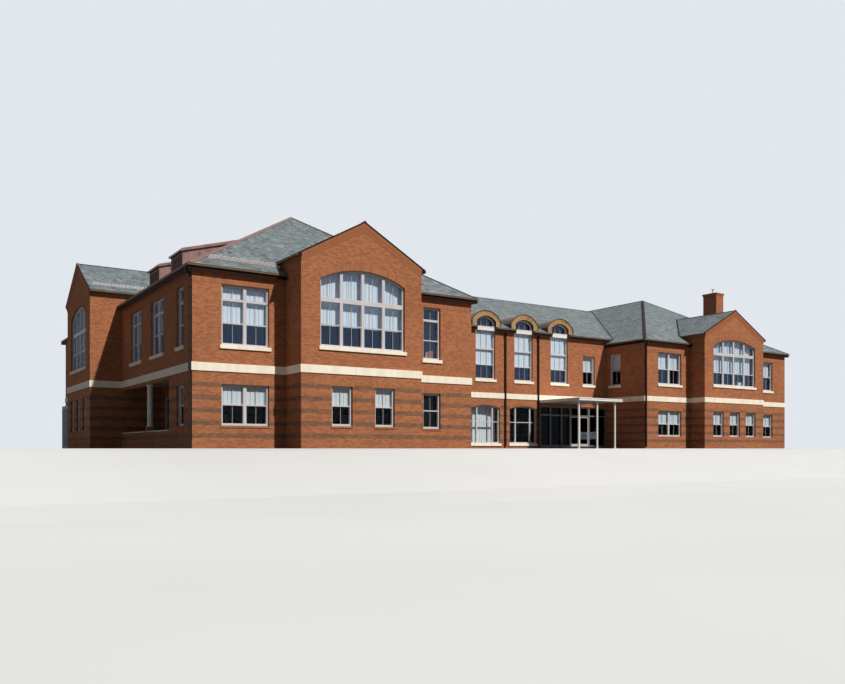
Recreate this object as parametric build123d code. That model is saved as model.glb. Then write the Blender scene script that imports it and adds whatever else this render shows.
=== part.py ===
from build123d import *
from dataclasses import dataclass
import os

os.makedirs("parts", exist_ok=True)

# A two-storey brick library of two hipped wings and a lower link between them.
# Every length is in model millimetres, at half the real size.
# x runs right along the front, y runs back from the street and z runs up.
# The left wing's front left corner is at x = 0, y = 0 until the parts are placed.

# Blocks
WALL = 200
LEFT_WIDTH = 8200
LEFT_DEPTH = 16500
LINK_WIDTH = 10330
LINK_SETBACK = 4590
LINK_DEPTH = 10400
RIGHT_WIDTH = 9240
RIGHT_SETBACK = 2600

# Floors
GROUND_SLAB = 75
UPPER_FLOOR = 2075
FLOOR_SLAB = 150

# Main roofs, measured on the slate surface
LEFT_EAVE_TOP = 4360
LINK_EAVE_TOP = 4465
RIGHT_EAVE_TOP = 4255
LEFT_RIDGE = 6935
RIGHT_RIDGE = 6830
LINK_RIDGE = 6720
OVERHANG = 105
ROOF_SLAB = 150
LEFT_HIP_RUN = 3570
RIGHT_HIP_RUN = 4180

# Gabled bays
LEFT_BAY_CENTRE = 4118
LEFT_BAY_WIDTH = 3485
LEFT_BAY_PROJECTION = 920
WEST_BAY_CENTRE = 8743
WEST_BAY_WIDTH = 3695
WEST_BAY_PROJECTION = 930
RIGHT_BAY_OFFSET = 4622
RIGHT_BAY_WIDTH = 3865
RIGHT_BAY_PROJECTION = 725
LEFT_BAY_RIDGE = 5745
LEFT_BAY_EAVE_TOP = 4725
WEST_BAY_RIDGE = 5895
WEST_BAY_EAVE_TOP = 4785
RIGHT_BAY_RIDGE = 5680
RIGHT_BAY_EAVE_TOP = 4600
BAY_ROOF_SLAB = 50
RAKE_OVERHANG = 30

# Stone belt and sills
BELT_BOTTOM = 1850
BELT_HEIGHT = 200
BELT_PROUD = 20
SILL_HEIGHT = 90
SILL_PROUD = 35

# Window frames and glass
REVEAL = 60
FRAME_WIDTH = 45
FRAME_DEPTH = 60
MULLION = 80
GLASS = 12
GLASS_EDGE = 10

# Window types: upper sill, upper head, lower sill and lower head of each wing
UPPER_SILL = 2500
UPPER_HEAD = 3965
LOWER_SILL = 555
LOWER_HEAD = 1550
RIGHT_UPPER_SILL = 2540
RIGHT_UPPER_HEAD = 3800
RIGHT_LOWER_SILL = 480
RIGHT_LOWER_HEAD = 1495
LEFT_DOUBLE = 1220
LEFT_SINGLE = 585
RIGHT_DOUBLE = 1380
RIGHT_SINGLE = 710

# Window places, measured from the corner or the middle that they keep to
LEFT_DOUBLE_INSET = 1325
LEFT_SINGLE_INSET = 1380
LEFT_BAY_LOWER_OFFSET = 620
WEST_SINGLE_INSET = 960
WEST_DOUBLE_INSET = 3000
WEST_DOUBLE_SPACING = 2225
WEST_BAY_LOWER_SPACING = 1000
RIGHT_DOUBLE_INSET = 1480
RIGHT_SINGLE_INSET = 1273
RIGHT_BAY_LOWER_SPACING = 1063
RIGHT_WEST_WINDOW_INSET = 1530

# Big arched bay windows
BAY_ARCH_WIDTH = 2445
BAY_ARCH_SILL = 2525
BAY_ARCH_SPRING = 4200
BAY_ARCH_CROWN = 4500
BAY_TRANSOM = 3695
BAY_TRANSOM_BAR = 110
RIGHT_ARCH_WIDTH = 2755
RIGHT_ARCH_SILL = 2560
RIGHT_ARCH_SPRING = 4185
RIGHT_ARCH_CROWN = 4455
RIGHT_BAY_TRANSOM = 3830
RIGHT_BAY_LOWER = 670

# Arched windows of the link, which rise through the eave
LINK_BAY_FIRST = 2265
LINK_BAY_SPACING = 1820
LINK_BAYS = 4
LINK_ARCH_WIDTH = 895
LINK_ARCH_SILL = 2540
LINK_ARCH_SPRING = 4675
LINK_ARCH_CROWN = 4870
LINK_PANEL = 4412
LINK_PANEL_BAR = 145
RING_WIDTH = 1335
RING_FOOT = 4400
RING_CROWN = 5060
RING_PROUD = 60
LINK_NARROW_WIDTH = 650
LINK_NARROW_HEAD = 3705
LINK_NARROW_LEFT = 700
LINK_NARROW_RIGHT = 1005

# Ground floor arches of the link
LOW_ARCH_WIDTH = 1350
LOW_ARCH_SILL = 185
LOW_ARCH_SPRING = 1485
LOW_ARCH_CROWN = 1600
LOW_ARCH_MULLION = 358
LOW_ARCH_BAR = 50
LOW_ARCHES = 3

# Glazed entrance, its pair of doors and the canopy
LINTEL = 1650
ENTRANCE_WIDTH = 3580
STOREFRONT_FACE = 40
STOREFRONT_DEPTH = 60
STOREFRONT_BAR = 50
STOREFRONT_BARS_LEFT = (555, 1145)
STOREFRONT_BARS_RIGHT = (510,)
DOOR_INSET = 1615
DOOR_OPENING = 1000
DOOR_HEAD = 1275
DOOR_THICKNESS = 25
DOOR_STILE = 45
DOOR_BOTTOM_RAIL = 100
DOOR_JAMB_GAP = 8
DOOR_MEETING_GAP = 6
DOOR_FLOOR_GAP = 6
PIVOT_INSET = 30
PIVOT_RADIUS = 8
PIVOT_PLAY = 0.3
PUSH_BAR_HEIGHT = 500
PUSH_BAR = 20
HANDLE_STANDOFF = 25
PULL_FOOT = 420
PULL_LENGTH = 250
PULL_BAR = 15
DOOR_GLASS = 8
CANOPY_LAP = 100
CANOPY_WIDTH = 2250
CANOPY_SOFFIT = 1755
CANOPY_DEPTH = 2190
CANOPY_THICKNESS = 90
CANOPY_COLUMN_RADIUS = 38
CANOPY_COLUMN_SETBACK = 150
CANOPY_COLUMNS = (130, 1060, 1990)

# Recessed porch on the west side
PORCH_START = 1900
PORCH_DEPTH = 1200
PORCH_SOFFIT = 1775
PORCH_WALL_HEIGHT = 450
PORCH_WALL_THICKNESS = 150
PORCH_PIER = 250
PORCH_PIER_HEIGHT = 600
PORCH_COLUMN_OFFSET = 2170
PORCH_COLUMN_RADIUS = 75
PORCH_GLAZING_SILL = 525
PORCH_GLAZING_HEAD = 1600
PORCH_GLAZING_WIDTH = 1300
PORCH_BAYS = 3

# Shed dormers on the west slope
DORMER_FRONT = 525
DORMER_TOP = 5290
DORMER_PITCH = 0.28
DORMER_WIDTH = 1050
DORMER_SHEET = 50
DORMER_EAVE = 50
DORMER_FIRST = 2490
DORMER_SECOND = 4700

# Chimney, gutters, downspouts and the side screen
CHIMNEY_INSET = 3005
CHIMNEY_SETBACK = 1536
CHIMNEY_WIDTH = 490
CHIMNEY_DEPTH = 690
CHIMNEY_TOP = 6850
CHIMNEY_CAP = 40
CHIMNEY_CAP_PROUD = 30
FLUE_RADIUS = 60
FLUE_HEIGHT = 265
GUTTER_WIDTH = 45
GUTTER_HEIGHT = 50
GUTTER_SHEET = 6
GUTTER_DROP = 10
PIPE = 50
PIPE_FOOT = 60
PIPE_OFFSET_DROP = 120
SCREEN_LENGTH = 1900
SCREEN_HEIGHT = 1500
SCREEN_THICKNESS = 60
SCREEN_RAIL = 100
SCREEN_SLOT = 70
SCREEN_PITCH = 150

# Small joint between like pieces of one run
SEAM = 0.5

# Sizes that follow
LINK_REAR_Y = LINK_SETBACK + LINK_DEPTH
RIGHT_X = LEFT_WIDTH + LINK_WIDTH
RIGHT_END = RIGHT_X + RIGHT_WIDTH
RIGHT_REAR_Y = LEFT_DEPTH
PORCH_END = WEST_BAY_CENTRE - WEST_BAY_WIDTH / 2
WEST_BAY_END = WEST_BAY_CENTRE + WEST_BAY_WIDTH / 2
LEFT_PITCH = (LEFT_RIDGE - LEFT_EAVE_TOP) / (LEFT_WIDTH / 2 + OVERHANG)
RIGHT_PITCH = (RIGHT_RIDGE - RIGHT_EAVE_TOP) / (RIGHT_WIDTH / 2 + OVERHANG)
LINK_PITCH = (LINK_RIDGE - LINK_EAVE_TOP) / (LINK_DEPTH / 2 + OVERHANG)
LEFT_HIP_PITCH = (LEFT_RIDGE - LEFT_EAVE_TOP) / (LEFT_HIP_RUN + OVERHANG)
RIGHT_HIP_PITCH = (RIGHT_RIDGE - RIGHT_EAVE_TOP) / (RIGHT_HIP_RUN + OVERHANG)
LINK_ARCHES = [LEFT_WIDTH + LINK_BAY_FIRST + n * LINK_BAY_SPACING for n in range(LINK_BAYS)]
RIGHT_BAY_CENTRE = RIGHT_X + RIGHT_BAY_OFFSET
ENTRANCE_LEFT = RIGHT_X - ENTRANCE_WIDTH
DOOR_LEFT = ENTRANCE_LEFT + DOOR_INSET
DOOR_RIGHT = DOOR_LEFT + DOOR_OPENING
CANOPY_LEFT = ENTRANCE_LEFT - CANOPY_LAP
CANOPY_FRONT = LINK_SETBACK - CANOPY_DEPTH
ORIGIN_X = RIGHT_END / 2
ORIGIN_Y = LINK_SETBACK + LINK_DEPTH / 2
LINK_REACH = (LINK_EAVE_TOP - RIGHT_EAVE_TOP) / RIGHT_PITCH
DEEP = 2 * LEFT_RIDGE


@dataclass(frozen=True)
class Facade:
    """An outer wall face: u runs along it, d runs inward from it and z runs up."""

    face: float
    square_to: str
    inward: int
    eave: float

    def spot(self, u, d):
        """Place on the plan of a point of this facade."""
        across = self.face + self.inward * d
        return (u, across) if self.square_to == "y" else (across, u)

    def block(self, u0, u1, d0, d1, z0, z1):
        """Box between two corners of this facade."""
        ax, ay = self.spot(u0, d0)
        bx, by = self.spot(u1, d1)
        size = (abs(bx - ax), abs(by - ay), z1 - z0)
        return Pos((ax + bx) / 2, (ay + by) / 2, (z0 + z1) / 2) * Box(*size)

    def prism(self, outline, d0, d1):
        """Solid from an outline drawn in u and z, between two depths."""
        x, y = self.spot(0, d0)
        if self.square_to == "y":
            plane = Plane(origin=(x, y, 0), x_dir=(1, 0, 0), z_dir=(0, -1, 0))
            inward = (0, self.inward, 0)
        else:
            plane = Plane(origin=(x, y, 0), x_dir=(0, 1, 0), z_dir=(1, 0, 0))
            inward = (self.inward, 0, 0)
        return extrude(plane * outline, amount=d1 - d0, dir=inward)

    def moved_out(self, distance):
        """The same facade, further out."""
        return Facade(self.face - self.inward * distance, self.square_to, self.inward, self.eave)


LEFT_FRONT = Facade(0, "y", 1, LEFT_EAVE_TOP)
LEFT_REAR = Facade(LEFT_DEPTH, "y", -1, LEFT_EAVE_TOP)
WEST = Facade(0, "x", 1, LEFT_EAVE_TOP)
LEFT_EAST = Facade(LEFT_WIDTH, "x", -1, LEFT_EAVE_TOP)
LINK_FRONT = Facade(LINK_SETBACK, "y", 1, LINK_EAVE_TOP)
LINK_REAR = Facade(LINK_REAR_Y, "y", -1, LINK_EAVE_TOP)
RIGHT_FRONT = Facade(RIGHT_SETBACK, "y", 1, RIGHT_EAVE_TOP)
RIGHT_REAR = Facade(RIGHT_REAR_Y, "y", -1, RIGHT_EAVE_TOP)
RIGHT_WEST = Facade(RIGHT_X, "x", 1, RIGHT_EAVE_TOP)
RIGHT_EAST = Facade(RIGHT_END, "x", -1, RIGHT_EAVE_TOP)
PORCH_BACK = Facade(PORCH_DEPTH, "x", 1, LEFT_EAVE_TOP)
LEFT_BAY = LEFT_FRONT.moved_out(LEFT_BAY_PROJECTION)
WEST_BAY = WEST.moved_out(WEST_BAY_PROJECTION)
RIGHT_BAY = RIGHT_FRONT.moved_out(RIGHT_BAY_PROJECTION)


def rectangle(u0, u1, z0, z1):
    """Upright rectangle in u and z."""
    return Pos((u0 + u1) / 2, (z0 + z1) / 2) * Rectangle(u1 - u0, z1 - z0)


def arched(centre, width, bottom, spring, crown):
    """Opening outline with upright sides and a segmental head, or a flat one."""
    left, right = centre - width / 2, centre + width / 2
    if crown == spring:
        return rectangle(left, right, bottom, spring)
    sides = Polyline((left, spring), (left, bottom), (right, bottom), (right, spring))
    head = ThreePointArc((right, spring), (centre, crown), (left, spring))
    return make_face(sides + head)


@dataclass(frozen=True)
class Window:
    """A window of one facade, with upright mullions and level transoms."""

    facade: Facade
    centre: float
    width: float
    sill: float
    spring: float
    crown: float = 0
    mullions: tuple = ()
    transoms: tuple = ()
    stone_sill: bool = True
    bar: float = MULLION

    def outline(self, inset=0, drop=0):
        crown = max(self.crown, self.spring)
        flat = crown == self.spring
        spring = self.spring - inset if flat else self.spring
        width = self.width - 2 * inset
        return arched(self.centre, width, self.sill + inset - drop, spring, crown - inset)

    def opening(self):
        return self.outline(drop=SILL_HEIGHT if self.stone_sill else 0)

    def frame(self):
        lights = self.outline(inset=FRAME_WIDTH)
        low, high = self.sill, max(self.crown, self.spring)
        for offset in self.mullions:
            at = self.centre + offset
            lights -= rectangle(at - self.bar / 2, at + self.bar / 2, low, high)
        for level, height in self.transoms:
            side = self.width / 2
            levels = (level - height / 2, level + height / 2)
            lights -= rectangle(self.centre - side, self.centre + side, *levels)
        return self.facade.prism(self.outline() - lights, REVEAL, REVEAL + FRAME_DEPTH)

    def glass(self):
        """Pane behind the frame, whose head is cut straight where the frame hides it."""
        back = REVEAL + FRAME_DEPTH
        left, right = self.centre - self.width / 2 + GLASS_EDGE, self.centre + self.width / 2 - GLASS_EDGE
        bottom, spring = self.sill + GLASS_EDGE, self.spring - GLASS_EDGE
        if self.crown <= self.spring:
            return self.facade.prism(rectangle(left, right, bottom, spring), back, back + GLASS)
        rise, third = self.crown - self.spring, self.width / 6
        radius = (self.width ** 2 / 4 + rise ** 2) / (2 * rise)
        top = self.crown - radius + (radius ** 2 - third ** 2) ** 0.5 - GLASS_EDGE
        outline = Polyline((left, bottom), (right, bottom), (right, spring), (self.centre + third, top),
                           (self.centre - third, top), (left, spring), close=True)
        return self.facade.prism(make_face(outline), back, back + GLASS)

    def sill_stone(self):
        left, right = self.centre - self.width / 2, self.centre + self.width / 2
        return self.facade.block(left, right, -SILL_PROUD, WALL, self.sill - SILL_HEIGHT, self.sill)


def upper_window(facade, centre, width, right_wing=False):
    """First floor window of a wing: a single, or a double with a mullion."""
    sill = RIGHT_UPPER_SILL if right_wing else UPPER_SILL
    head = RIGHT_UPPER_HEAD if right_wing else UPPER_HEAD
    double = width > (LEFT_DOUBLE + LEFT_SINGLE) / 2
    return Window(facade, centre, width, sill, head, 0, (0,) if double else ())


def lower_window(facade, centre, width, right_wing=False):
    """Ground floor window of a wing, on a brick sill."""
    sill = RIGHT_LOWER_SILL if right_wing else LOWER_SILL
    head = RIGHT_LOWER_HEAD if right_wing else LOWER_HEAD
    double = width > (LEFT_DOUBLE + LEFT_SINGLE) / 2
    return Window(facade, centre, width, sill, head, 0, (0,) if double else (), (), False)


def bay_window(facade, centre):
    """Big arched window of the left wing's bays, in four lights."""
    quarter = BAY_ARCH_WIDTH / 4
    return Window(facade, centre, BAY_ARCH_WIDTH, BAY_ARCH_SILL, BAY_ARCH_SPRING, BAY_ARCH_CROWN,
                  (-quarter, 0, quarter), ((BAY_TRANSOM, BAY_TRANSOM_BAR),))


def pairs(facade, centres, width, right_wing=False):
    """The same window on both floors at each place."""
    upper = [upper_window(facade, at, width, right_wing) for at in centres]
    lower = [lower_window(facade, at, width, right_wing) for at in centres]
    return upper + lower


def evenly(u0, u1, count):
    """Middles of equal bays along a run."""
    return [u0 + (n + 0.5) * (u1 - u0) / count for n in range(count)]


LEFT_FRONT_WINDOWS = pairs(LEFT_FRONT, (LEFT_DOUBLE_INSET,), LEFT_DOUBLE)
LEFT_FRONT_WINDOWS += pairs(LEFT_FRONT, (LEFT_WIDTH - LEFT_SINGLE_INSET,), LEFT_SINGLE)
LEFT_BAY_WINDOWS = [bay_window(LEFT_BAY, LEFT_BAY_CENTRE)]
LEFT_BAY_WINDOWS += [lower_window(LEFT_BAY, LEFT_BAY_CENTRE + at, LEFT_SINGLE)
                     for at in (-LEFT_BAY_LOWER_OFFSET, LEFT_BAY_LOWER_OFFSET)]
WEST_UPPER_WINDOWS = [upper_window(WEST, WEST_SINGLE_INSET, LEFT_SINGLE)]
WEST_UPPER_WINDOWS += [upper_window(WEST, WEST_DOUBLE_INSET + n * WEST_DOUBLE_SPACING, LEFT_DOUBLE)
                       for n in (0, 1)]
WEST_LOWER_WINDOWS = [lower_window(WEST, WEST_SINGLE_INSET, LEFT_SINGLE)]
WEST_BAY_WINDOWS = [bay_window(WEST_BAY, WEST_BAY_CENTRE)]
WEST_BAY_WINDOWS += [lower_window(WEST_BAY, WEST_BAY_CENTRE + n * WEST_BAY_LOWER_SPACING, LEFT_SINGLE)
                     for n in (-1, 0, 1)]
WEST_NORTH_WINDOWS = pairs(WEST, evenly(WEST_BAY_END, LEFT_DEPTH, 2), LEFT_DOUBLE)
LEFT_EAST_WINDOWS = pairs(LEFT_EAST, evenly(0, LINK_SETBACK, 1), LEFT_DOUBLE)
LEFT_EAST_WINDOWS += pairs(LEFT_EAST, evenly(LINK_REAR_Y, LEFT_DEPTH, 1), LEFT_SINGLE)
LEFT_REAR_WINDOWS = pairs(LEFT_REAR, evenly(0, LEFT_WIDTH, 2), LEFT_DOUBLE)
RIGHT_FRONT_WINDOWS = pairs(RIGHT_FRONT, (RIGHT_X + RIGHT_DOUBLE_INSET,), RIGHT_DOUBLE, True)
RIGHT_FRONT_WINDOWS += pairs(RIGHT_FRONT, (RIGHT_END - RIGHT_SINGLE_INSET,), RIGHT_SINGLE, True)
RIGHT_QUARTER = RIGHT_ARCH_WIDTH / 4
RIGHT_BAY_WINDOWS = [Window(RIGHT_BAY, RIGHT_BAY_CENTRE, RIGHT_ARCH_WIDTH, RIGHT_ARCH_SILL,
                            RIGHT_ARCH_SPRING, RIGHT_ARCH_CROWN, (-RIGHT_QUARTER, 0, RIGHT_QUARTER),
                            ((RIGHT_BAY_TRANSOM, BAY_TRANSOM_BAR),))]
RIGHT_BAY_WINDOWS += [lower_window(RIGHT_BAY, RIGHT_BAY_CENTRE + n * RIGHT_BAY_LOWER_SPACING,
                                   RIGHT_BAY_LOWER, True) for n in (-1, 0, 1)]
RIGHT_WEST_WINDOWS = [upper_window(RIGHT_WEST, RIGHT_SETBACK + RIGHT_WEST_WINDOW_INSET, LEFT_SINGLE, True)]
RIGHT_WEST_WINDOWS += pairs(RIGHT_WEST, evenly(LINK_REAR_Y, RIGHT_REAR_Y, 1), RIGHT_SINGLE, True)
RIGHT_EAST_WINDOWS = pairs(RIGHT_EAST, evenly(RIGHT_SETBACK, RIGHT_REAR_Y, 4), RIGHT_DOUBLE, True)
RIGHT_REAR_WINDOWS = pairs(RIGHT_REAR, evenly(RIGHT_X, RIGHT_END, 2), RIGHT_DOUBLE, True)
LINK_UPPER_WINDOWS = [Window(LINK_FRONT, at, LINK_ARCH_WIDTH, LINK_ARCH_SILL, LINK_ARCH_SPRING,
                             LINK_ARCH_CROWN, (), ((LINK_PANEL, LINK_PANEL_BAR),))
                      for at in LINK_ARCHES]
LINK_UPPER_WINDOWS += [Window(LINK_FRONT, at, LINK_NARROW_WIDTH, LINK_ARCH_SILL, LINK_NARROW_HEAD)
                       for at in (LEFT_WIDTH + LINK_NARROW_LEFT, RIGHT_X - LINK_NARROW_RIGHT)]
LINK_LOWER_WINDOWS = [Window(LINK_FRONT, at, LOW_ARCH_WIDTH, LOW_ARCH_SILL, LOW_ARCH_SPRING,
                             LOW_ARCH_CROWN, (-LOW_ARCH_MULLION, LOW_ARCH_MULLION), bar=LOW_ARCH_BAR)
                      for at in LINK_ARCHES[:LOW_ARCHES]]
LINK_REAR_WINDOWS = pairs(LINK_REAR, LINK_ARCHES, LEFT_DOUBLE)
PORCH_WINDOWS = [Window(PORCH_BACK, at, PORCH_GLAZING_WIDTH, PORCH_GLAZING_SILL, PORCH_GLAZING_HEAD,
                        0, (0,), (), False) for at in evenly(PORCH_START, PORCH_END, PORCH_BAYS)]


def slab(points, thickness=ROOF_SLAB):
    """Roof slab: a flat slope's corners, carried straight down by one thickness."""
    return extrude(make_face(Polyline(*points, close=True)), amount=thickness, dir=(0, 0, -1))


def hipped(x0, x1, y0, y1, run, eave, ridge):
    """Corners of the four slopes of a hipped roof, with the hips' run at both ends."""
    left, right, near, far = x0 - OVERHANG, x1 + OVERHANG, y0 - OVERHANG, y1 + OVERHANG
    front_left, front_right = (left, near, eave), (right, near, eave)
    rear_left, rear_right = (left, far, eave), (right, far, eave)
    front_peak, rear_peak = ((x0 + x1) / 2, y0 + run, ridge), ((x0 + x1) / 2, y1 - run, ridge)
    return {"front": (front_left, front_right, front_peak),
            "rear": (rear_left, rear_right, rear_peak),
            "west": (front_left, rear_left, rear_peak, front_peak),
            "east": (front_right, rear_right, rear_peak, front_peak)}


LEFT_SLOPES = hipped(0, LEFT_WIDTH, 0, LEFT_DEPTH, LEFT_HIP_RUN, LEFT_EAVE_TOP, LEFT_RIDGE)
RIGHT_SLOPES = hipped(RIGHT_X, RIGHT_END, RIGHT_SETBACK, RIGHT_REAR_Y, RIGHT_HIP_RUN,
                      RIGHT_EAVE_TOP, RIGHT_RIDGE)


def link_slopes():
    """Corners of the link's two slopes, which end in valleys on the wings' roofs."""
    middle = LINK_SETBACK + LINK_DEPTH / 2
    near, far = LINK_SETBACK - OVERHANG, LINK_REAR_Y + OVERHANG

    def valley(x_side, y, height):
        """Point of a wing's inner slope at a height."""
        if x_side == "left":
            return (LEFT_WIDTH + OVERHANG - (height - LEFT_EAVE_TOP) / LEFT_PITCH, y, height)
        return (RIGHT_X - OVERHANG + (height - RIGHT_EAVE_TOP) / RIGHT_PITCH, y, height)

    ridge = (valley("right", middle, LINK_RIDGE), valley("left", middle, LINK_RIDGE))
    return {"front": (valley("left", near, LINK_EAVE_TOP), valley("right", near, LINK_EAVE_TOP), *ridge),
            "rear": (valley("left", far, LINK_EAVE_TOP), valley("right", far, LINK_EAVE_TOP), *ridge)}


LINK_SLOPES = link_slopes()


def bay_gap(facade, centre, width):
    """Where the main roof stops for a bay."""
    return facade.block(centre - width / 2, centre + width / 2, -OVERHANG - 1, WALL, 0, DEEP)


def link_gap(facade):
    """Where a wing's eave stops for the link."""
    return facade.block(LINK_SETBACK, LINK_REAR_Y, -OVERHANG - 1, 0, 0, DEEP)


def above(points, thickness=ROOF_SLAB):
    """Everything over the underside of a roof slab."""
    lowered = [(x, y, z - thickness) for x, y, z in points]
    return extrude(make_face(Polyline(*lowered, close=True)), amount=DEEP, dir=(0, 0, 1))


LEFT_BAY_GAP = bay_gap(LEFT_FRONT, LEFT_BAY_CENTRE, LEFT_BAY_WIDTH)
WEST_BAY_GAP = bay_gap(WEST, WEST_BAY_CENTRE, WEST_BAY_WIDTH)
RIGHT_BAY_GAP = bay_gap(RIGHT_FRONT, RIGHT_BAY_CENTRE, RIGHT_BAY_WIDTH)
LEFT_LINK_GAP = link_gap(LEFT_EAST)
RIGHT_LINK_GAP = link_gap(RIGHT_WEST)
LEFT_FRONT_BULK = slab(LEFT_SLOPES["front"], DEEP) - LEFT_BAY_GAP
WEST_BULK = slab(LEFT_SLOPES["west"], DEEP) - WEST_BAY_GAP
LEFT_EAST_BULK = slab(LEFT_SLOPES["east"], DEEP) - LEFT_LINK_GAP
RIGHT_FRONT_BULK = slab(RIGHT_SLOPES["front"], DEEP) - RIGHT_BAY_GAP
RIGHT_WEST_BULK = slab(RIGHT_SLOPES["west"], DEEP) - RIGHT_LINK_GAP
RIGHT_EAST_BULK = slab(RIGHT_SLOPES["east"], DEEP)
LINK_FRONT_BULK = slab(LINK_SLOPES["front"], DEEP)


def sheet_wall(facade, u0, u1, z0, z1, windows=()):
    """Wall of the full thickness, with its windows cut through."""
    sheet = rectangle(u0, u1, z0, z1)
    for window in windows:
        sheet -= window.opening()
    return facade.prism(sheet, 0, WALL)


def within(windows, u0, u1):
    """The windows whose centre is on this run of the facade."""
    return [window for window in windows if u0 < window.centre < u1]


def wall_top(facade, pitch):
    """Height at which a wall's inner face meets the roof slab."""
    return facade.eave - ROOF_SLAB + pitch * (OVERHANG + WALL)


def wall_under(facade, u0, u1, z0, pitch, windows, slopes):
    """Wall that runs up to the roof slabs over it."""
    wall = sheet_wall(facade, u0, u1, z0, wall_top(facade, pitch), within(windows, u0, u1))
    for points in slopes:
        wall -= above(points)
    return wall


@dataclass(frozen=True)
class Bay:
    """A gabled bay that stands out from a wing."""

    main: Facade
    front: Facade
    centre: float
    width: float
    projection: float
    main_pitch: float
    eave: float
    ridge: float

    def pitch(self):
        return (self.ridge - self.eave) / (self.width / 2 + OVERHANG)

    def reach(self):
        """Depth behind the bay's face at which the main slope is over the bay's ridge."""
        return self.projection + (self.ridge - self.main.eave) / self.main_pitch

    def underside(self, offset):
        """Height of the roof slab's underside at a distance from the ridge."""
        return self.ridge - BAY_ROOF_SLAB - self.pitch() * offset

    def front_wall(self, windows):
        left, right = self.centre - self.width / 2, self.centre + self.width / 2
        corner = self.underside(self.width / 2)
        sheet = make_face(Polyline((left, 0), (right, 0), (right, corner),
                                   (self.centre, self.underside(0)), (left, corner), close=True))
        for window in windows:
            sheet -= window.opening()
        return self.front.prism(sheet, 0, WALL)

    def side_wall(self, side, bulk):
        """Wall of one side, which runs on over the main slope until the bay's roof meets it."""
        outer = self.centre + side * self.width / 2
        inner = outer - side * WALL
        outline = make_face(Polyline((outer, 0), (inner, 0), (inner, self.underside(self.width / 2 - WALL)),
                                     (outer, self.underside(self.width / 2)), close=True))
        return self.front.prism(outline, WALL, self.reach()) - bulk

    def roof_slope(self, side, bulk):
        edge = self.centre + side * (self.width / 2 + OVERHANG)
        outline = make_face(Polyline((edge, self.eave), (self.centre, self.ridge),
                                     (self.centre, self.ridge - BAY_ROOF_SLAB),
                                     (edge, self.eave - BAY_ROOF_SLAB), close=True))
        return self.front.prism(outline, -RAKE_OVERHANG, self.reach()) - bulk


BAYS = ((Bay(LEFT_FRONT, LEFT_BAY, LEFT_BAY_CENTRE, LEFT_BAY_WIDTH, LEFT_BAY_PROJECTION, LEFT_HIP_PITCH,
             LEFT_BAY_EAVE_TOP, LEFT_BAY_RIDGE),
         LEFT_BAY_WINDOWS, LEFT_FRONT_BULK + WEST_BULK + LEFT_EAST_BULK),
        (Bay(WEST, WEST_BAY, WEST_BAY_CENTRE, WEST_BAY_WIDTH, WEST_BAY_PROJECTION, LEFT_PITCH,
             WEST_BAY_EAVE_TOP, WEST_BAY_RIDGE),
         WEST_BAY_WINDOWS, WEST_BULK),
        (Bay(RIGHT_FRONT, RIGHT_BAY, RIGHT_BAY_CENTRE, RIGHT_BAY_WIDTH, RIGHT_BAY_PROJECTION,
             RIGHT_HIP_PITCH, RIGHT_BAY_EAVE_TOP, RIGHT_BAY_RIDGE),
         RIGHT_BAY_WINDOWS, RIGHT_FRONT_BULK + RIGHT_WEST_BULK + RIGHT_EAST_BULK))


def plan(x0, x1, y0, y1):
    """Rectangle on the ground plan."""
    return Pos((x0 + x1) / 2, (y0 + y1) / 2) * Rectangle(x1 - x0, y1 - y0)


def bay_plan(facade, centre, width, projection):
    """Ground plan of a bay, back to the inside of the main wall."""
    ax, ay = facade.spot(centre - width / 2, -projection)
    bx, by = facade.spot(centre + width / 2, 2 * WALL)
    return plan(min(ax, bx), max(ax, bx), min(ay, by), max(ay, by))


LEFT_PLAN = plan(0, LEFT_WIDTH, 0, LEFT_DEPTH)
LEFT_PLAN += bay_plan(LEFT_FRONT, LEFT_BAY_CENTRE, LEFT_BAY_WIDTH, LEFT_BAY_PROJECTION)
LEFT_PLAN += bay_plan(WEST, WEST_BAY_CENTRE, WEST_BAY_WIDTH, WEST_BAY_PROJECTION)
LINK_PLAN = plan(LEFT_WIDTH - WALL, RIGHT_X + WALL, LINK_SETBACK, LINK_REAR_Y)
RIGHT_PLAN = plan(RIGHT_X, RIGHT_END, RIGHT_SETBACK, RIGHT_REAR_Y)
RIGHT_PLAN += bay_plan(RIGHT_FRONT, RIGHT_BAY_CENTRE, RIGHT_BAY_WIDTH, RIGHT_BAY_PROJECTION)
FOOTPRINT = LEFT_PLAN + LINK_PLAN + RIGHT_PLAN


def floor_plans():
    """Inside outlines of the left wing, the link and the right wing."""
    left = offset(LEFT_PLAN, -WALL, kind=Kind.INTERSECTION)
    right = offset(RIGHT_PLAN, -WALL, kind=Kind.INTERSECTION)
    link = plan(LEFT_WIDTH - WALL, RIGHT_X + WALL, LINK_SETBACK + WALL, LINK_REAR_Y - WALL)
    return {"left": left, "link": link, "right": right}


parts = {}

# Floors
for name, outline in floor_plans().items():
    parts[name + "_ground_floor"] = extrude(outline, amount=GROUND_SLAB)
    lifted = Pos(0, 0, UPPER_FLOOR - FLOOR_SLAB) * outline
    parts[name + "_upper_floor"] = extrude(lifted, amount=FLOOR_SLAB)

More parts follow.
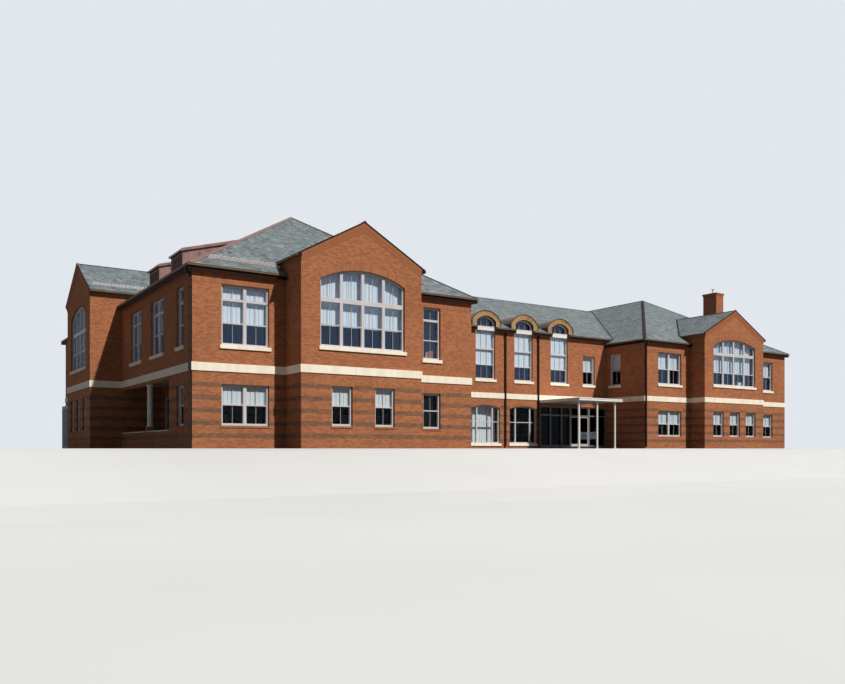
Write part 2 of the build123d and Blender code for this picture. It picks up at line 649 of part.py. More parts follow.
# Left wing's walls
LEFT_BAY_SIDES = (LEFT_BAY_CENTRE - LEFT_BAY_WIDTH / 2, LEFT_BAY_CENTRE + LEFT_BAY_WIDTH / 2)
front_slopes = (LEFT_SLOPES["front"], LEFT_SLOPES["west"], LEFT_SLOPES["east"])
parts["left_front_walls"] = [
    wall_under(LEFT_FRONT, u0, u1, 0, LEFT_HIP_PITCH, LEFT_FRONT_WINDOWS, front_slopes)
    for u0, u1 in ((0, LEFT_BAY_SIDES[0]), (LEFT_BAY_SIDES[1], LEFT_WIDTH))]
parts["west_wall_upper"] = wall_under(WEST, WALL, PORCH_END, PORCH_SOFFIT, LEFT_PITCH,
                                      WEST_UPPER_WINDOWS, (LEFT_SLOPES["west"],))
parts["west_wall_lower"] = sheet_wall(WEST, WALL, PORCH_START, 0, PORCH_SOFFIT, WEST_LOWER_WINDOWS)
parts["west_wall_north"] = wall_under(WEST, WEST_BAY_END, LEFT_DEPTH - WALL, 0, LEFT_PITCH,
                                      WEST_NORTH_WINDOWS, (LEFT_SLOPES["west"],))
rear_slopes = (LEFT_SLOPES["rear"], LEFT_SLOPES["west"], LEFT_SLOPES["east"])
parts["left_rear_wall"] = wall_under(LEFT_REAR, 0, LEFT_WIDTH, 0, LEFT_HIP_PITCH, LEFT_REAR_WINDOWS,
                                     rear_slopes)
parts["left_east_walls"] = [
    wall_under(LEFT_EAST, u0, u1, 0, LEFT_PITCH, LEFT_EAST_WINDOWS, (LEFT_SLOPES["east"],))
    for u0, u1 in ((WALL, LINK_SETBACK + WALL), (LINK_REAR_Y - WALL, LEFT_DEPTH - WALL))]

# Porch under the west side
porch_sheet = rectangle(PORCH_START, PORCH_END, GROUND_SLAB, UPPER_FLOOR - FLOOR_SLAB)
for window in PORCH_WINDOWS:
    porch_sheet -= window.opening()
parts["porch_back_wall"] = PORCH_BACK.prism(porch_sheet, 0, WALL)
parts["porch_side_walls"] = [
    WEST.block(u0, u0 + WALL, WALL, PORCH_DEPTH + WALL, GROUND_SLAB, UPPER_FLOOR - FLOOR_SLAB)
    for u0 in (PORCH_START - WALL, PORCH_END)]
column_at = PORCH_START + PORCH_COLUMN_OFFSET
pier = WEST.block(column_at - PORCH_PIER / 2, column_at + PORCH_PIER / 2, 0, WALL, 0, PORCH_PIER_HEIGHT)
parts["porch_low_wall"] = pier + WEST.block(PORCH_START, PORCH_END, 0, PORCH_WALL_THICKNESS,
                                            0, PORCH_WALL_HEIGHT)
column_height = PORCH_SOFFIT - PORCH_PIER_HEIGHT
column_middle = PORCH_PIER_HEIGHT + column_height / 2
column_place = Pos(WALL / 2, column_at, column_middle)
parts["porch_column"] = column_place * Cylinder(PORCH_COLUMN_RADIUS, column_height)

# Gabled bays
parts["bay_fronts"] = [bay.front_wall(windows) for bay, windows, bulk in BAYS]
parts["bay_side_walls"] = [bay.side_wall(side, bulk) for bay, windows, bulk in BAYS for side in (-1, 1)]
parts["bay_roof_left_slopes"] = [bay.roof_slope(-1, bulk) for bay, windows, bulk in BAYS]
parts["bay_roof_right_slopes"] = [bay.roof_slope(1, bulk) for bay, windows, bulk in BAYS]


def arch_ring(centre):
    """Arched surround of a link window, which stands on the slope over the eave."""
    outer = arched(centre, RING_WIDTH, RING_FOOT, LINK_ARCH_SPRING, RING_CROWN)
    inner = arched(centre, LINK_ARCH_WIDTH, RING_FOOT, LINK_ARCH_SPRING, LINK_ARCH_CROWN)
    return LINK_FRONT.prism(outer - inner, -RING_PROUD, WALL) - LINK_FRONT_BULK


def link_slope_at(height):
    """Depth behind the link's front at which its slope reaches a height."""
    return (height - LINK_EAVE_TOP) / LINK_PITCH - OVERHANG


def barrel_roof(centre):
    """Barrel roof from an arch back to the link's slope, hollow behind the window."""
    mass = arched(centre, RING_WIDTH, RING_FOOT, LINK_ARCH_SPRING, RING_CROWN)
    half = LINK_ARCH_WIDTH / 2
    room = rectangle(centre - half, centre + half, RING_FOOT, LINK_ARCH_CROWN)
    reach = link_slope_at(RING_CROWN) + OVERHANG
    hollow = LINK_FRONT.prism(room, WALL, link_slope_at(LINK_ARCH_CROWN))
    return LINK_FRONT.prism(mass, WALL, reach) - LINK_FRONT_BULK - hollow


def roof_break(centre):
    """Gap in the link's eave and slope for a window and the hollow behind it."""
    side = LINK_ARCH_WIDTH / 2
    reach = link_slope_at(LINK_ARCH_CROWN)
    return LINK_FRONT.block(centre - side, centre + side, -OVERHANG - 1, reach, 0, DEEP)


# Link's walls
link_sheet = rectangle(LEFT_WIDTH, RIGHT_X + LINK_REACH, LINTEL, wall_top(LINK_FRONT, LINK_PITCH))
for window in LINK_UPPER_WINDOWS:
    link_sheet -= window.opening()
parts["link_front_upper"] = (LINK_FRONT.prism(link_sheet, 0, WALL) - above(LINK_SLOPES["front"])
                             - RIGHT_WEST_BULK)
parts["link_front_lower"] = sheet_wall(LINK_FRONT, LEFT_WIDTH, ENTRANCE_LEFT, 0, LINTEL,
                                       LINK_LOWER_WINDOWS)
parts["link_rear_wall"] = wall_under(LINK_REAR, LEFT_WIDTH, RIGHT_X + LINK_REACH, 0, LINK_PITCH,
                                     LINK_REAR_WINDOWS, (LINK_SLOPES["rear"],)) - RIGHT_WEST_BULK
parts["link_arch_rings"] = [arch_ring(centre) for centre in LINK_ARCHES]
parts["link_arch_roofs"] = [barrel_roof(centre) for centre in LINK_ARCHES]


def glazing(u0, u1, z0, z1, bars, transom=None):
    """Storefront frame with upright bars, and its sheet of glass behind."""
    frame = rectangle(u0, u1, z0, z1)
    half = STOREFRONT_BAR / 2
    edges = [u0 + half] + list(bars) + [u1 - half]
    rows = [(z0 + STOREFRONT_BAR, z1 - STOREFRONT_BAR)]
    if transom:
        rows = [(z0 + STOREFRONT_BAR, transom), (transom + STOREFRONT_BAR, z1 - STOREFRONT_BAR)]
    for left, right in zip(edges, edges[1:]):
        for low, high in rows:
            frame -= rectangle(left + half, right - half, low, high)
    back = STOREFRONT_FACE + STOREFRONT_DEPTH
    pane = rectangle(u0 + GLASS_EDGE, u1 - GLASS_EDGE, z0 + GLASS_EDGE, z1 - GLASS_EDGE)
    return LINK_FRONT.prism(frame, STOREFRONT_FACE, back), LINK_FRONT.prism(pane, back, back + GLASS)


# Glazed entrance
left_bars = [ENTRANCE_LEFT + at for at in STOREFRONT_BARS_LEFT]
right_bars = [DOOR_RIGHT + at for at in STOREFRONT_BARS_RIGHT]
left_frame, left_pane = glazing(ENTRANCE_LEFT, DOOR_LEFT, GROUND_SLAB, LINTEL, left_bars, DOOR_HEAD)
right_frame, right_pane = glazing(DOOR_RIGHT, RIGHT_X, GROUND_SLAB, LINTEL, right_bars, DOOR_HEAD)
head_frame, head_pane = glazing(DOOR_LEFT, DOOR_RIGHT, DOOR_HEAD, LINTEL, (DOOR_LEFT + DOOR_OPENING / 2,))
parts["storefront_left"] = left_frame
parts["storefront_right"] = right_frame
parts["storefront_head"] = head_frame
parts["storefront_glass"] = [left_pane, right_pane, head_pane]


def door_leaf(jamb, side):
    """Door leaf with its push bar, pull and pivots, hung at a jamb and reaching to one side."""
    width = DOOR_OPENING / 2 - DOOR_JAMB_GAP - DOOR_MEETING_GAP / 2
    heel, toe = jamb + side * DOOR_JAMB_GAP, jamb + side * (DOOR_JAMB_GAP + width)
    u0, u1 = min(heel, toe), max(heel, toe)
    z0, z1 = GROUND_SLAB + DOOR_FLOOR_GAP, DOOR_HEAD - DOOR_FLOOR_GAP
    light = rectangle(u0 + DOOR_STILE, u1 - DOOR_STILE, z0 + DOOR_BOTTOM_RAIL, z1 - DOOR_STILE)
    middle = STOREFRONT_FACE + STOREFRONT_DEPTH / 2
    face, back = middle - DOOR_THICKNESS / 2, middle + DOOR_THICKNESS / 2
    leaf = LINK_FRONT.prism(rectangle(u0, u1, z0, z1) - light, face, back)
    bar_left, bar_right = u0 + DOOR_STILE / 2, u1 - DOOR_STILE / 2
    bar_face = back + HANDLE_STANDOFF
    levels = (PUSH_BAR_HEIGHT - PUSH_BAR / 2, PUSH_BAR_HEIGHT + PUSH_BAR / 2)
    leaf += LINK_FRONT.block(bar_left, bar_right, bar_face, bar_face + PUSH_BAR, *levels)
    for at in (bar_left, bar_right - PUSH_BAR):
        leaf += LINK_FRONT.block(at, at + PUSH_BAR, back, bar_face, *levels)
    pull_u = toe - side * DOOR_STILE / 2
    sides = (pull_u - PULL_BAR / 2, pull_u + PULL_BAR / 2)
    pull_face, pull_top = face - HANDLE_STANDOFF, PULL_FOOT + PULL_LENGTH
    leaf += LINK_FRONT.block(*sides, pull_face - PULL_BAR, pull_face, PULL_FOOT, pull_top)
    for low in (PULL_FOOT, pull_top - PULL_BAR):
        leaf += LINK_FRONT.block(*sides, pull_face, face, low, low + PULL_BAR)
    pivot_height = DOOR_HEAD - GROUND_SLAB - 2 * PIVOT_PLAY
    pivot = Pos(heel + side * PIVOT_INSET, LINK_FRONT.face + middle, (GROUND_SLAB + DOOR_HEAD) / 2)
    pin = pivot * Cylinder(PIVOT_RADIUS, pivot_height)
    glass_face, glass_back = middle - DOOR_GLASS / 2, middle + DOOR_GLASS / 2
    return leaf + pin, LINK_FRONT.prism(light, glass_face, glass_back)


parts["entrance_door_left"], parts["entrance_glass_left"] = door_leaf(DOOR_LEFT, 1)
parts["entrance_door_right"], parts["entrance_glass_right"] = door_leaf(DOOR_RIGHT, -1)

# Canopy over the entrance
canopy_top = CANOPY_SOFFIT + CANOPY_THICKNESS
parts["canopy"] = LINK_FRONT.block(CANOPY_LEFT, CANOPY_LEFT + CANOPY_WIDTH, -CANOPY_DEPTH, 0,
                                   CANOPY_SOFFIT, canopy_top)
parts["canopy_columns"] = [
    Pos(CANOPY_LEFT + at, CANOPY_FRONT + CANOPY_COLUMN_SETBACK, CANOPY_SOFFIT / 2)
    * Cylinder(CANOPY_COLUMN_RADIUS, CANOPY_SOFFIT)
    for at in CANOPY_COLUMNS]

# Right wing's walls
RIGHT_BAY_SIDES = (RIGHT_BAY_CENTRE - RIGHT_BAY_WIDTH / 2, RIGHT_BAY_CENTRE + RIGHT_BAY_WIDTH / 2)
front_slopes = (RIGHT_SLOPES["front"], RIGHT_SLOPES["west"], RIGHT_SLOPES["east"])
parts["right_front_walls"] = [
    wall_under(RIGHT_FRONT, u0, u1, 0, RIGHT_HIP_PITCH, RIGHT_FRONT_WINDOWS, front_slopes)
    for u0, u1 in ((RIGHT_X, RIGHT_BAY_SIDES[0]), (RIGHT_BAY_SIDES[1], RIGHT_END))]
parts["right_west_walls"] = [
    wall_under(RIGHT_WEST, u0, u1, 0, RIGHT_PITCH, RIGHT_WEST_WINDOWS, (RIGHT_SLOPES["west"],))
    for u0, u1 in ((RIGHT_SETBACK + WALL, LINK_SETBACK + WALL),
                   (LINK_REAR_Y - WALL, RIGHT_REAR_Y - WALL))]
parts["right_east_wall"] = wall_under(RIGHT_EAST, RIGHT_SETBACK + WALL, RIGHT_REAR_Y - WALL, 0,
                                      RIGHT_PITCH, RIGHT_EAST_WINDOWS, (RIGHT_SLOPES["east"],))
rear_slopes = (RIGHT_SLOPES["rear"], RIGHT_SLOPES["west"], RIGHT_SLOPES["east"])
parts["right_rear_wall"] = wall_under(RIGHT_REAR, RIGHT_X, RIGHT_END, 0, RIGHT_HIP_PITCH,
                                      RIGHT_REAR_WINDOWS, rear_slopes)

# Main roofs
parts["left_roof_ends"] = [slab(LEFT_SLOPES["front"]) - LEFT_BAY_GAP, slab(LEFT_SLOPES["rear"])]
parts["left_roof_west"] = slab(LEFT_SLOPES["west"]) - WEST_BAY_GAP
parts["left_roof_east"] = slab(LEFT_SLOPES["east"]) - LEFT_LINK_GAP
parts["right_roof_ends"] = [slab(RIGHT_SLOPES["front"]) - RIGHT_BAY_GAP, slab(RIGHT_SLOPES["rear"])]
parts["right_roof_west"] = slab(RIGHT_SLOPES["west"]) - RIGHT_LINK_GAP
parts["right_roof_east"] = slab(RIGHT_SLOPES["east"])
link_front_roof = slab(LINK_SLOPES["front"]) - LEFT_EAST_BULK - RIGHT_WEST_BULK
for centre in LINK_ARCHES:
    link_front_roof -= roof_break(centre)
parts["link_roof_front"] = link_front_roof
parts["link_roof_rear"] = slab(LINK_SLOPES["rear"]) - LEFT_EAST_BULK - RIGHT_WEST_BULK


DORMER_FOOT = LEFT_EAVE_TOP + LEFT_PITCH * (DORMER_FRONT + OVERHANG)
DORMER_REACH = DORMER_FRONT + (DORMER_TOP - DORMER_FOOT) / (LEFT_PITCH - DORMER_PITCH)


def dormer(start):
    """Shed dormer on the west slope: front and cheeks, and its sloping roof."""
    side = Facade(start, "y", 1, LEFT_EAVE_TOP)
    reach = DORMER_REACH
    rise = DORMER_PITCH * (reach - DORMER_FRONT)
    top = DORMER_TOP - DORMER_SHEET
    body = make_face(Polyline((DORMER_FRONT, LEFT_EAVE_TOP), (reach, LEFT_EAVE_TOP), (reach, top + rise),
                              (DORMER_FRONT, top), close=True))
    room = rectangle(DORMER_FRONT + DORMER_SHEET, reach + 1, 0, DEEP)
    walls = side.prism(body, 0, DORMER_WIDTH) - side.prism(room, DORMER_SHEET, DORMER_WIDTH - DORMER_SHEET)
    lip = DORMER_FRONT - DORMER_EAVE
    drop = DORMER_PITCH * DORMER_EAVE
    cover = make_face(Polyline((lip, top - drop), (reach, top + rise), (reach, DORMER_TOP + rise),
                               (lip, DORMER_TOP - drop), close=True))
    roof = side.prism(cover, -DORMER_EAVE, DORMER_WIDTH + DORMER_EAVE)
    return walls - WEST_BULK, roof - WEST_BULK


dormer_starts = (DORMER_FIRST, DORMER_SECOND, 2 * WEST_BAY_CENTRE - DORMER_SECOND - DORMER_WIDTH)
dormers = [dormer(start) for start in dormer_starts]
parts["west_dormers"] = [walls for walls, roof in dormers]
parts["west_dormer_roofs"] = [roof for walls, roof in dormers]

# Chimney on the right wing's front slope
chimney_x, chimney_y = RIGHT_END - CHIMNEY_INSET, RIGHT_SETBACK + CHIMNEY_SETBACK
stack = Pos(chimney_x, chimney_y, (RIGHT_EAVE_TOP + CHIMNEY_TOP) / 2) * \
    Box(CHIMNEY_WIDTH, CHIMNEY_DEPTH, CHIMNEY_TOP - RIGHT_EAVE_TOP)
cap = Pos(chimney_x, chimney_y, CHIMNEY_TOP + CHIMNEY_CAP / 2) * \
    Box(CHIMNEY_WIDTH + 2 * CHIMNEY_CAP_PROUD, CHIMNEY_DEPTH + 2 * CHIMNEY_CAP_PROUD, CHIMNEY_CAP)
flue = Pos(chimney_x, chimney_y, CHIMNEY_TOP + FLUE_HEIGHT / 2) * Cylinder(FLUE_RADIUS, FLUE_HEIGHT)
parts["chimney"] = (stack - RIGHT_FRONT_BULK - RIGHT_EAST_BULK) + cap + flue

# Stone belt at the upper floor
belt = offset(FOOTPRINT, BELT_PROUD, kind=Kind.INTERSECTION) - FOOTPRINT
parts["stone_belt"] = extrude(Pos(0, 0, BELT_BOTTOM) * belt, amount=BELT_HEIGHT)

# Windows
LEFT_WINDOWS = LEFT_FRONT_WINDOWS + LEFT_BAY_WINDOWS + WEST_UPPER_WINDOWS + WEST_LOWER_WINDOWS
LEFT_WINDOWS += WEST_BAY_WINDOWS + WEST_NORTH_WINDOWS + LEFT_EAST_WINDOWS + LEFT_REAR_WINDOWS
LEFT_WINDOWS += PORCH_WINDOWS
LINK_WINDOWS = LINK_UPPER_WINDOWS + LINK_LOWER_WINDOWS + LINK_REAR_WINDOWS
RIGHT_WINDOWS = RIGHT_FRONT_WINDOWS + RIGHT_BAY_WINDOWS + RIGHT_WEST_WINDOWS
RIGHT_WINDOWS += RIGHT_EAST_WINDOWS + RIGHT_REAR_WINDOWS
parts["left_window_frames"] = [window.frame() for window in LEFT_WINDOWS]
parts["link_window_frames"] = [window.frame() for window in LINK_WINDOWS]
parts["right_window_frames"] = [window.frame() for window in RIGHT_WINDOWS]
all_windows = LEFT_WINDOWS + LINK_WINDOWS + RIGHT_WINDOWS
parts["window_glass"] = [window.glass() for window in all_windows]
parts["window_sills"] = [window.sill_stone() for window in all_windows if window.stone_sill]


def gutter(facade, u0, u1):
    """Box gutter along an eave."""
    top = facade.eave - GUTTER_DROP
    outer, inner = -OVERHANG - GUTTER_WIDTH, -OVERHANG
    trough = facade.block(u0, u1, outer, inner, top - GUTTER_HEIGHT, top)
    return trough - facade.block(u0 + GUTTER_SHEET, u1 - GUTTER_SHEET, outer + GUTTER_SHEET,
                                 inner - GUTTER_SHEET, top - GUTTER_HEIGHT + GUTTER_SHEET, top + 1)


# Gutters along the eaves, broken at the bays, the link and its arches
lip = OVERHANG + GUTTER_WIDTH
gutters = [gutter(LEFT_FRONT, -lip, LEFT_BAY_SIDES[0])]
gutters += [gutter(LEFT_FRONT, LEFT_BAY_SIDES[1], LEFT_WIDTH + lip)]
gutters += [gutter(LEFT_REAR, -lip, LEFT_WIDTH + lip)]
gutters += [gutter(WEST, SEAM - OVERHANG, PORCH_END)]
gutters += [gutter(WEST, WEST_BAY_END, LEFT_DEPTH + OVERHANG - SEAM)]
gutters += [gutter(LEFT_EAST, SEAM - OVERHANG, LINK_SETBACK - OVERHANG)]
gutters += [gutter(LEFT_EAST, LINK_REAR_Y + OVERHANG, LEFT_DEPTH + OVERHANG - SEAM)]
gutters += [gutter(RIGHT_FRONT, RIGHT_X - lip, RIGHT_BAY_SIDES[0])]
gutters += [gutter(RIGHT_FRONT, RIGHT_BAY_SIDES[1], RIGHT_END + lip)]
gutters += [gutter(RIGHT_REAR, RIGHT_X - lip, RIGHT_END + lip)]
gutters += [gutter(RIGHT_EAST, RIGHT_SETBACK - OVERHANG + SEAM, RIGHT_REAR_Y + OVERHANG - SEAM)]
gutters += [gutter(RIGHT_WEST, RIGHT_SETBACK - OVERHANG + SEAM, LINK_SETBACK - SEAM)]
gutters += [gutter(RIGHT_WEST, LINK_REAR_Y + SEAM, RIGHT_REAR_Y + OVERHANG - SEAM)]
edges = [LEFT_WIDTH + OVERHANG]
for centre in LINK_ARCHES:
    edges += [centre - LINK_ARCH_WIDTH / 2 - SEAM, centre + LINK_ARCH_WIDTH / 2 + SEAM]
edges += [RIGHT_X + OVERHANG]
gutters += [gutter(LINK_FRONT, u0, u1) for u0, u1 in zip(edges[::2], edges[1::2])]
gutters += [gutter(LINK_REAR, edges[0], edges[-1])]
parts["gutters"] = gutters


def downspout(facade, u):
    """Pipe from a gutter, back to the wall under the eave and down to the ground."""
    left, right = u - PIPE / 2, u + PIPE / 2
    gutter_foot = facade.eave - GUTTER_DROP - GUTTER_HEIGHT
    elbow = gutter_foot - PIPE_OFFSET_DROP
    outlet = -OVERHANG - GUTTER_WIDTH
    pipe = facade.block(left, right, -BELT_PROUD - PIPE, -BELT_PROUD, PIPE_FOOT, elbow)
    pipe += facade.block(left, right, outlet, -BELT_PROUD, elbow - PIPE, elbow)
    return pipe + facade.block(left, right, outlet, -OVERHANG, elbow - PIPE, gutter_foot)


beside_canopy = (LINK_ARCHES[LOW_ARCHES - 1] + LOW_ARCH_WIDTH / 2 + CANOPY_LEFT) / 2
parts["downspouts"] = [downspout(WEST, PIPE), downspout(RIGHT_FRONT, RIGHT_X + PIPE),
                       downspout(LINK_FRONT, LINK_ARCHES[1] + LINK_BAY_SPACING / 2),
                       downspout(LINK_FRONT, beside_canopy)]

# Slatted screen that runs on from the west bay
screen_start = WEST_BAY_END
panel = rectangle(screen_start, screen_start + SCREEN_LENGTH, 0, SCREEN_HEIGHT)
slots = int((SCREEN_LENGTH - SCREEN_RAIL) / SCREEN_PITCH)
for n in range(slots):
    at = screen_start + SCREEN_RAIL + n * SCREEN_PITCH
    panel -= rectangle(at, at + SCREEN_SLOT, SCREEN_RAIL, SCREEN_HEIGHT - SCREEN_RAIL)
parts["west_screen"] = WEST_BAY.prism(panel, WALL - SCREEN_THICKNESS, WALL)


def solids_of(shape):
    """All the solids of a part, whether it is one shape or a list of them."""
    if isinstance(shape, (list, tuple, ShapeList)):
        return [solid for item in shape for solid in item.solids()]
    return list(shape.solids())


# Place the origin under the middle of the link and write the parts
for name, shape in parts.items():
    placed = [Pos(-ORIGIN_X, -ORIGIN_Y, 0) * solid for solid in solids_of(shape)]
    export_step(placed[0] if len(placed) == 1 else Compound(children=placed), f"parts/{name}.step")
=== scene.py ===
"""Looks of a two-storey brick library of two hipped wings and a lower link, at half its real size.

Every length is in metres. Places on the walls use the site's coordinates: x runs right along the
front and y back from the street, with the left wing's front left corner at x = 0, y = 0.
"""
import math
import random
from dataclasses import dataclass, replace

import bpy
import bmesh
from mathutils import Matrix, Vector


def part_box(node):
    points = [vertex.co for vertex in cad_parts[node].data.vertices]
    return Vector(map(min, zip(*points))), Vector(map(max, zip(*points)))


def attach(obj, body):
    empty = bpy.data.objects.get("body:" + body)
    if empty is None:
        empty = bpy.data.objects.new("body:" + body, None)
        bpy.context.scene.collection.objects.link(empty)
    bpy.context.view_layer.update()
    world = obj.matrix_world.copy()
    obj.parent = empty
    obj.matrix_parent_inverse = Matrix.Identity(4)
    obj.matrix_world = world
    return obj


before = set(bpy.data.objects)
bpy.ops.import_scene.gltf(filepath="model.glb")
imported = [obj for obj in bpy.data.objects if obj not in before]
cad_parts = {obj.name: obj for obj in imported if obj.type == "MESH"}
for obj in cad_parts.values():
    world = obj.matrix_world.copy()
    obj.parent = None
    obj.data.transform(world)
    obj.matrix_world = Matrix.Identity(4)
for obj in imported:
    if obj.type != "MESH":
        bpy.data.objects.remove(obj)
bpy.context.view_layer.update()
dice = random.Random(11)

# Blocks
WALL = 0.2
LEFT_WIDTH = 8.2
LEFT_DEPTH = 16.5
LINK_WIDTH = 10.33
LINK_SETBACK = 4.59
LINK_DEPTH = 10.4
RIGHT_WIDTH = 9.24
RIGHT_SETBACK = 2.6
LEFT_EAVE = 4.36
LINK_EAVE = 4.465
RIGHT_EAVE = 4.255
LEFT_RIDGE = 6.935
LINK_RIDGE = 6.72
RIGHT_RIDGE = 6.83
OVERHANG = 0.105
RAKE_OVERHANG = 0.03
LEFT_HIP_RUN = 3.57
RIGHT_HIP_RUN = 4.18
RIGHT_X = LEFT_WIDTH + LINK_WIDTH
RIGHT_END = RIGHT_X + RIGHT_WIDTH
LINK_REAR = LINK_SETBACK + LINK_DEPTH
LINK_MIDDLE = LINK_SETBACK + LINK_DEPTH / 2
ORIGIN_X = RIGHT_END / 2
ORIGIN_Y = LINK_MIDDLE
LEFT_PITCH = (LEFT_RIDGE - LEFT_EAVE) / (LEFT_WIDTH / 2 + OVERHANG)
RIGHT_PITCH = (RIGHT_RIDGE - RIGHT_EAVE) / (RIGHT_WIDTH / 2 + OVERHANG)
LINK_PITCH = (LINK_RIDGE - LINK_EAVE) / (LINK_DEPTH / 2 + OVERHANG)
LEFT_HIP_PITCH = (LEFT_RIDGE - LEFT_EAVE) / (LEFT_HIP_RUN + OVERHANG)
RIGHT_HIP_PITCH = (RIGHT_RIDGE - RIGHT_EAVE) / (RIGHT_HIP_RUN + OVERHANG)

# Brick, and the three dark courses in every eight of the ground floor
BELT_BOTTOM = 1.85
COURSE = 0.305 / 8
BRICK = 0.1065
JOINT = 0.0045
BRICK_PROUD = 0.004
BAND_FIRST = 0.306
BAND_PITCH = 0.305
BAND_HALF = 0.0565

# How far trim runs into the wall that it lies on
SUNK = 0.002


@dataclass(frozen=True)
class Facade:
    """An outer wall face: u runs along it, d runs inward from it and z runs up."""

    face: float
    square_to: str
    inward: int
    eave: float = LEFT_EAVE

    def point(self, u, d, z):
        across = self.face + self.inward * d
        x, y = (u, across) if self.square_to == "y" else (across, u)
        return Vector((x - ORIGIN_X, y - ORIGIN_Y, z))

    def place(self, point):
        """How far a point lies along the wall and inward of it."""
        x, y = point.x + ORIGIN_X, point.y + ORIGIN_Y
        u, across = (x, y) if self.square_to == "y" else (y, x)
        return u, (across - self.face) * self.inward


LEFT_FRONT = Facade(0, "y", 1)
LEFT_REAR = Facade(LEFT_DEPTH, "y", -1)
WEST = Facade(0, "x", 1)
LEFT_EAST = Facade(LEFT_WIDTH, "x", -1)
LINK_FRONT = Facade(LINK_SETBACK, "y", 1, LINK_EAVE)
LINK_BACK = Facade(LINK_REAR, "y", -1, LINK_EAVE)
RIGHT_FRONT = Facade(RIGHT_SETBACK, "y", 1, RIGHT_EAVE)
RIGHT_REAR = Facade(LEFT_DEPTH, "y", -1, RIGHT_EAVE)
RIGHT_WEST = Facade(RIGHT_X, "x", 1, RIGHT_EAVE)
RIGHT_EAST = Facade(RIGHT_END, "x", -1, RIGHT_EAVE)
PORCH_BACK = Facade(1.2, "x", 1)


@dataclass(frozen=True)
class Bay:
    """A gabled bay that stands out from a wing."""

    main: Facade
    centre: float
    width: float
    projection: float
    pitch: float
    eave: float
    ridge: float

    @property
    def front(self):
        return replace(self.main, face=self.main.face - self.main.inward * self.projection)

    @property
    def slope(self):
        return (self.ridge - self.eave) / (self.width / 2 + OVERHANG)

    def sides(self, margin=0):
        half = self.width / 2 + margin
        return self.centre - half, self.centre + half


LEFT_BAY = Bay(LEFT_FRONT, 4.118, 3.485, 0.92, LEFT_HIP_PITCH, 4.725, 5.745)
WEST_BAY = Bay(WEST, 8.743, 3.695, 0.93, LEFT_PITCH, 4.785, 5.895)
RIGHT_BAY = Bay(RIGHT_FRONT, RIGHT_X + 4.622, 3.865, 0.725, RIGHT_HIP_PITCH, 4.6, 5.68)
BAYS = (LEFT_BAY, WEST_BAY, RIGHT_BAY)
PORCH_START = 1.9
PORCH_END, WEST_BAY_END = WEST_BAY.sides()


# Materials

class Nodes:
    """A node tree, with short ways to add to it."""

    def __init__(self, tree):
        self.tree = tree

    def put(self, kind, inputs=None, **settings):
        """Adds a node; an input is a value, or another node's output."""
        node = self.tree.nodes.new("ShaderNode" + kind)
        for name, value in settings.items():
            setattr(node, name, value)
        for name, value in (inputs or {}).items():
            if isinstance(value, bpy.types.NodeSocket):
                self.tree.links.new(value, node.inputs[name])
            else:
                node.inputs[name].default_value = value
        return node

    def math(self, operation, first, second, third=0.5):
        return self.put("Math", {0: first, 1: second, 2: third}, operation=operation).outputs[0]

    def mix(self, amount, first, second, blend="MIX"):
        node = self.put("Mix", {0: amount, 6: first, 7: second}, data_type="RGBA", blend_type=blend)
        return node.outputs[2]

    def seen_directly(self):
        """One for rays from the camera, or by way of a mirror or a pane, and nothing for light on the building."""
        path = self.put("LightPath").outputs
        seen = self.math("MAXIMUM", path["Is Camera Ray"], path["Is Glossy Ray"])
        return self.math("MAXIMUM", seen, path["Is Transmission Ray"])


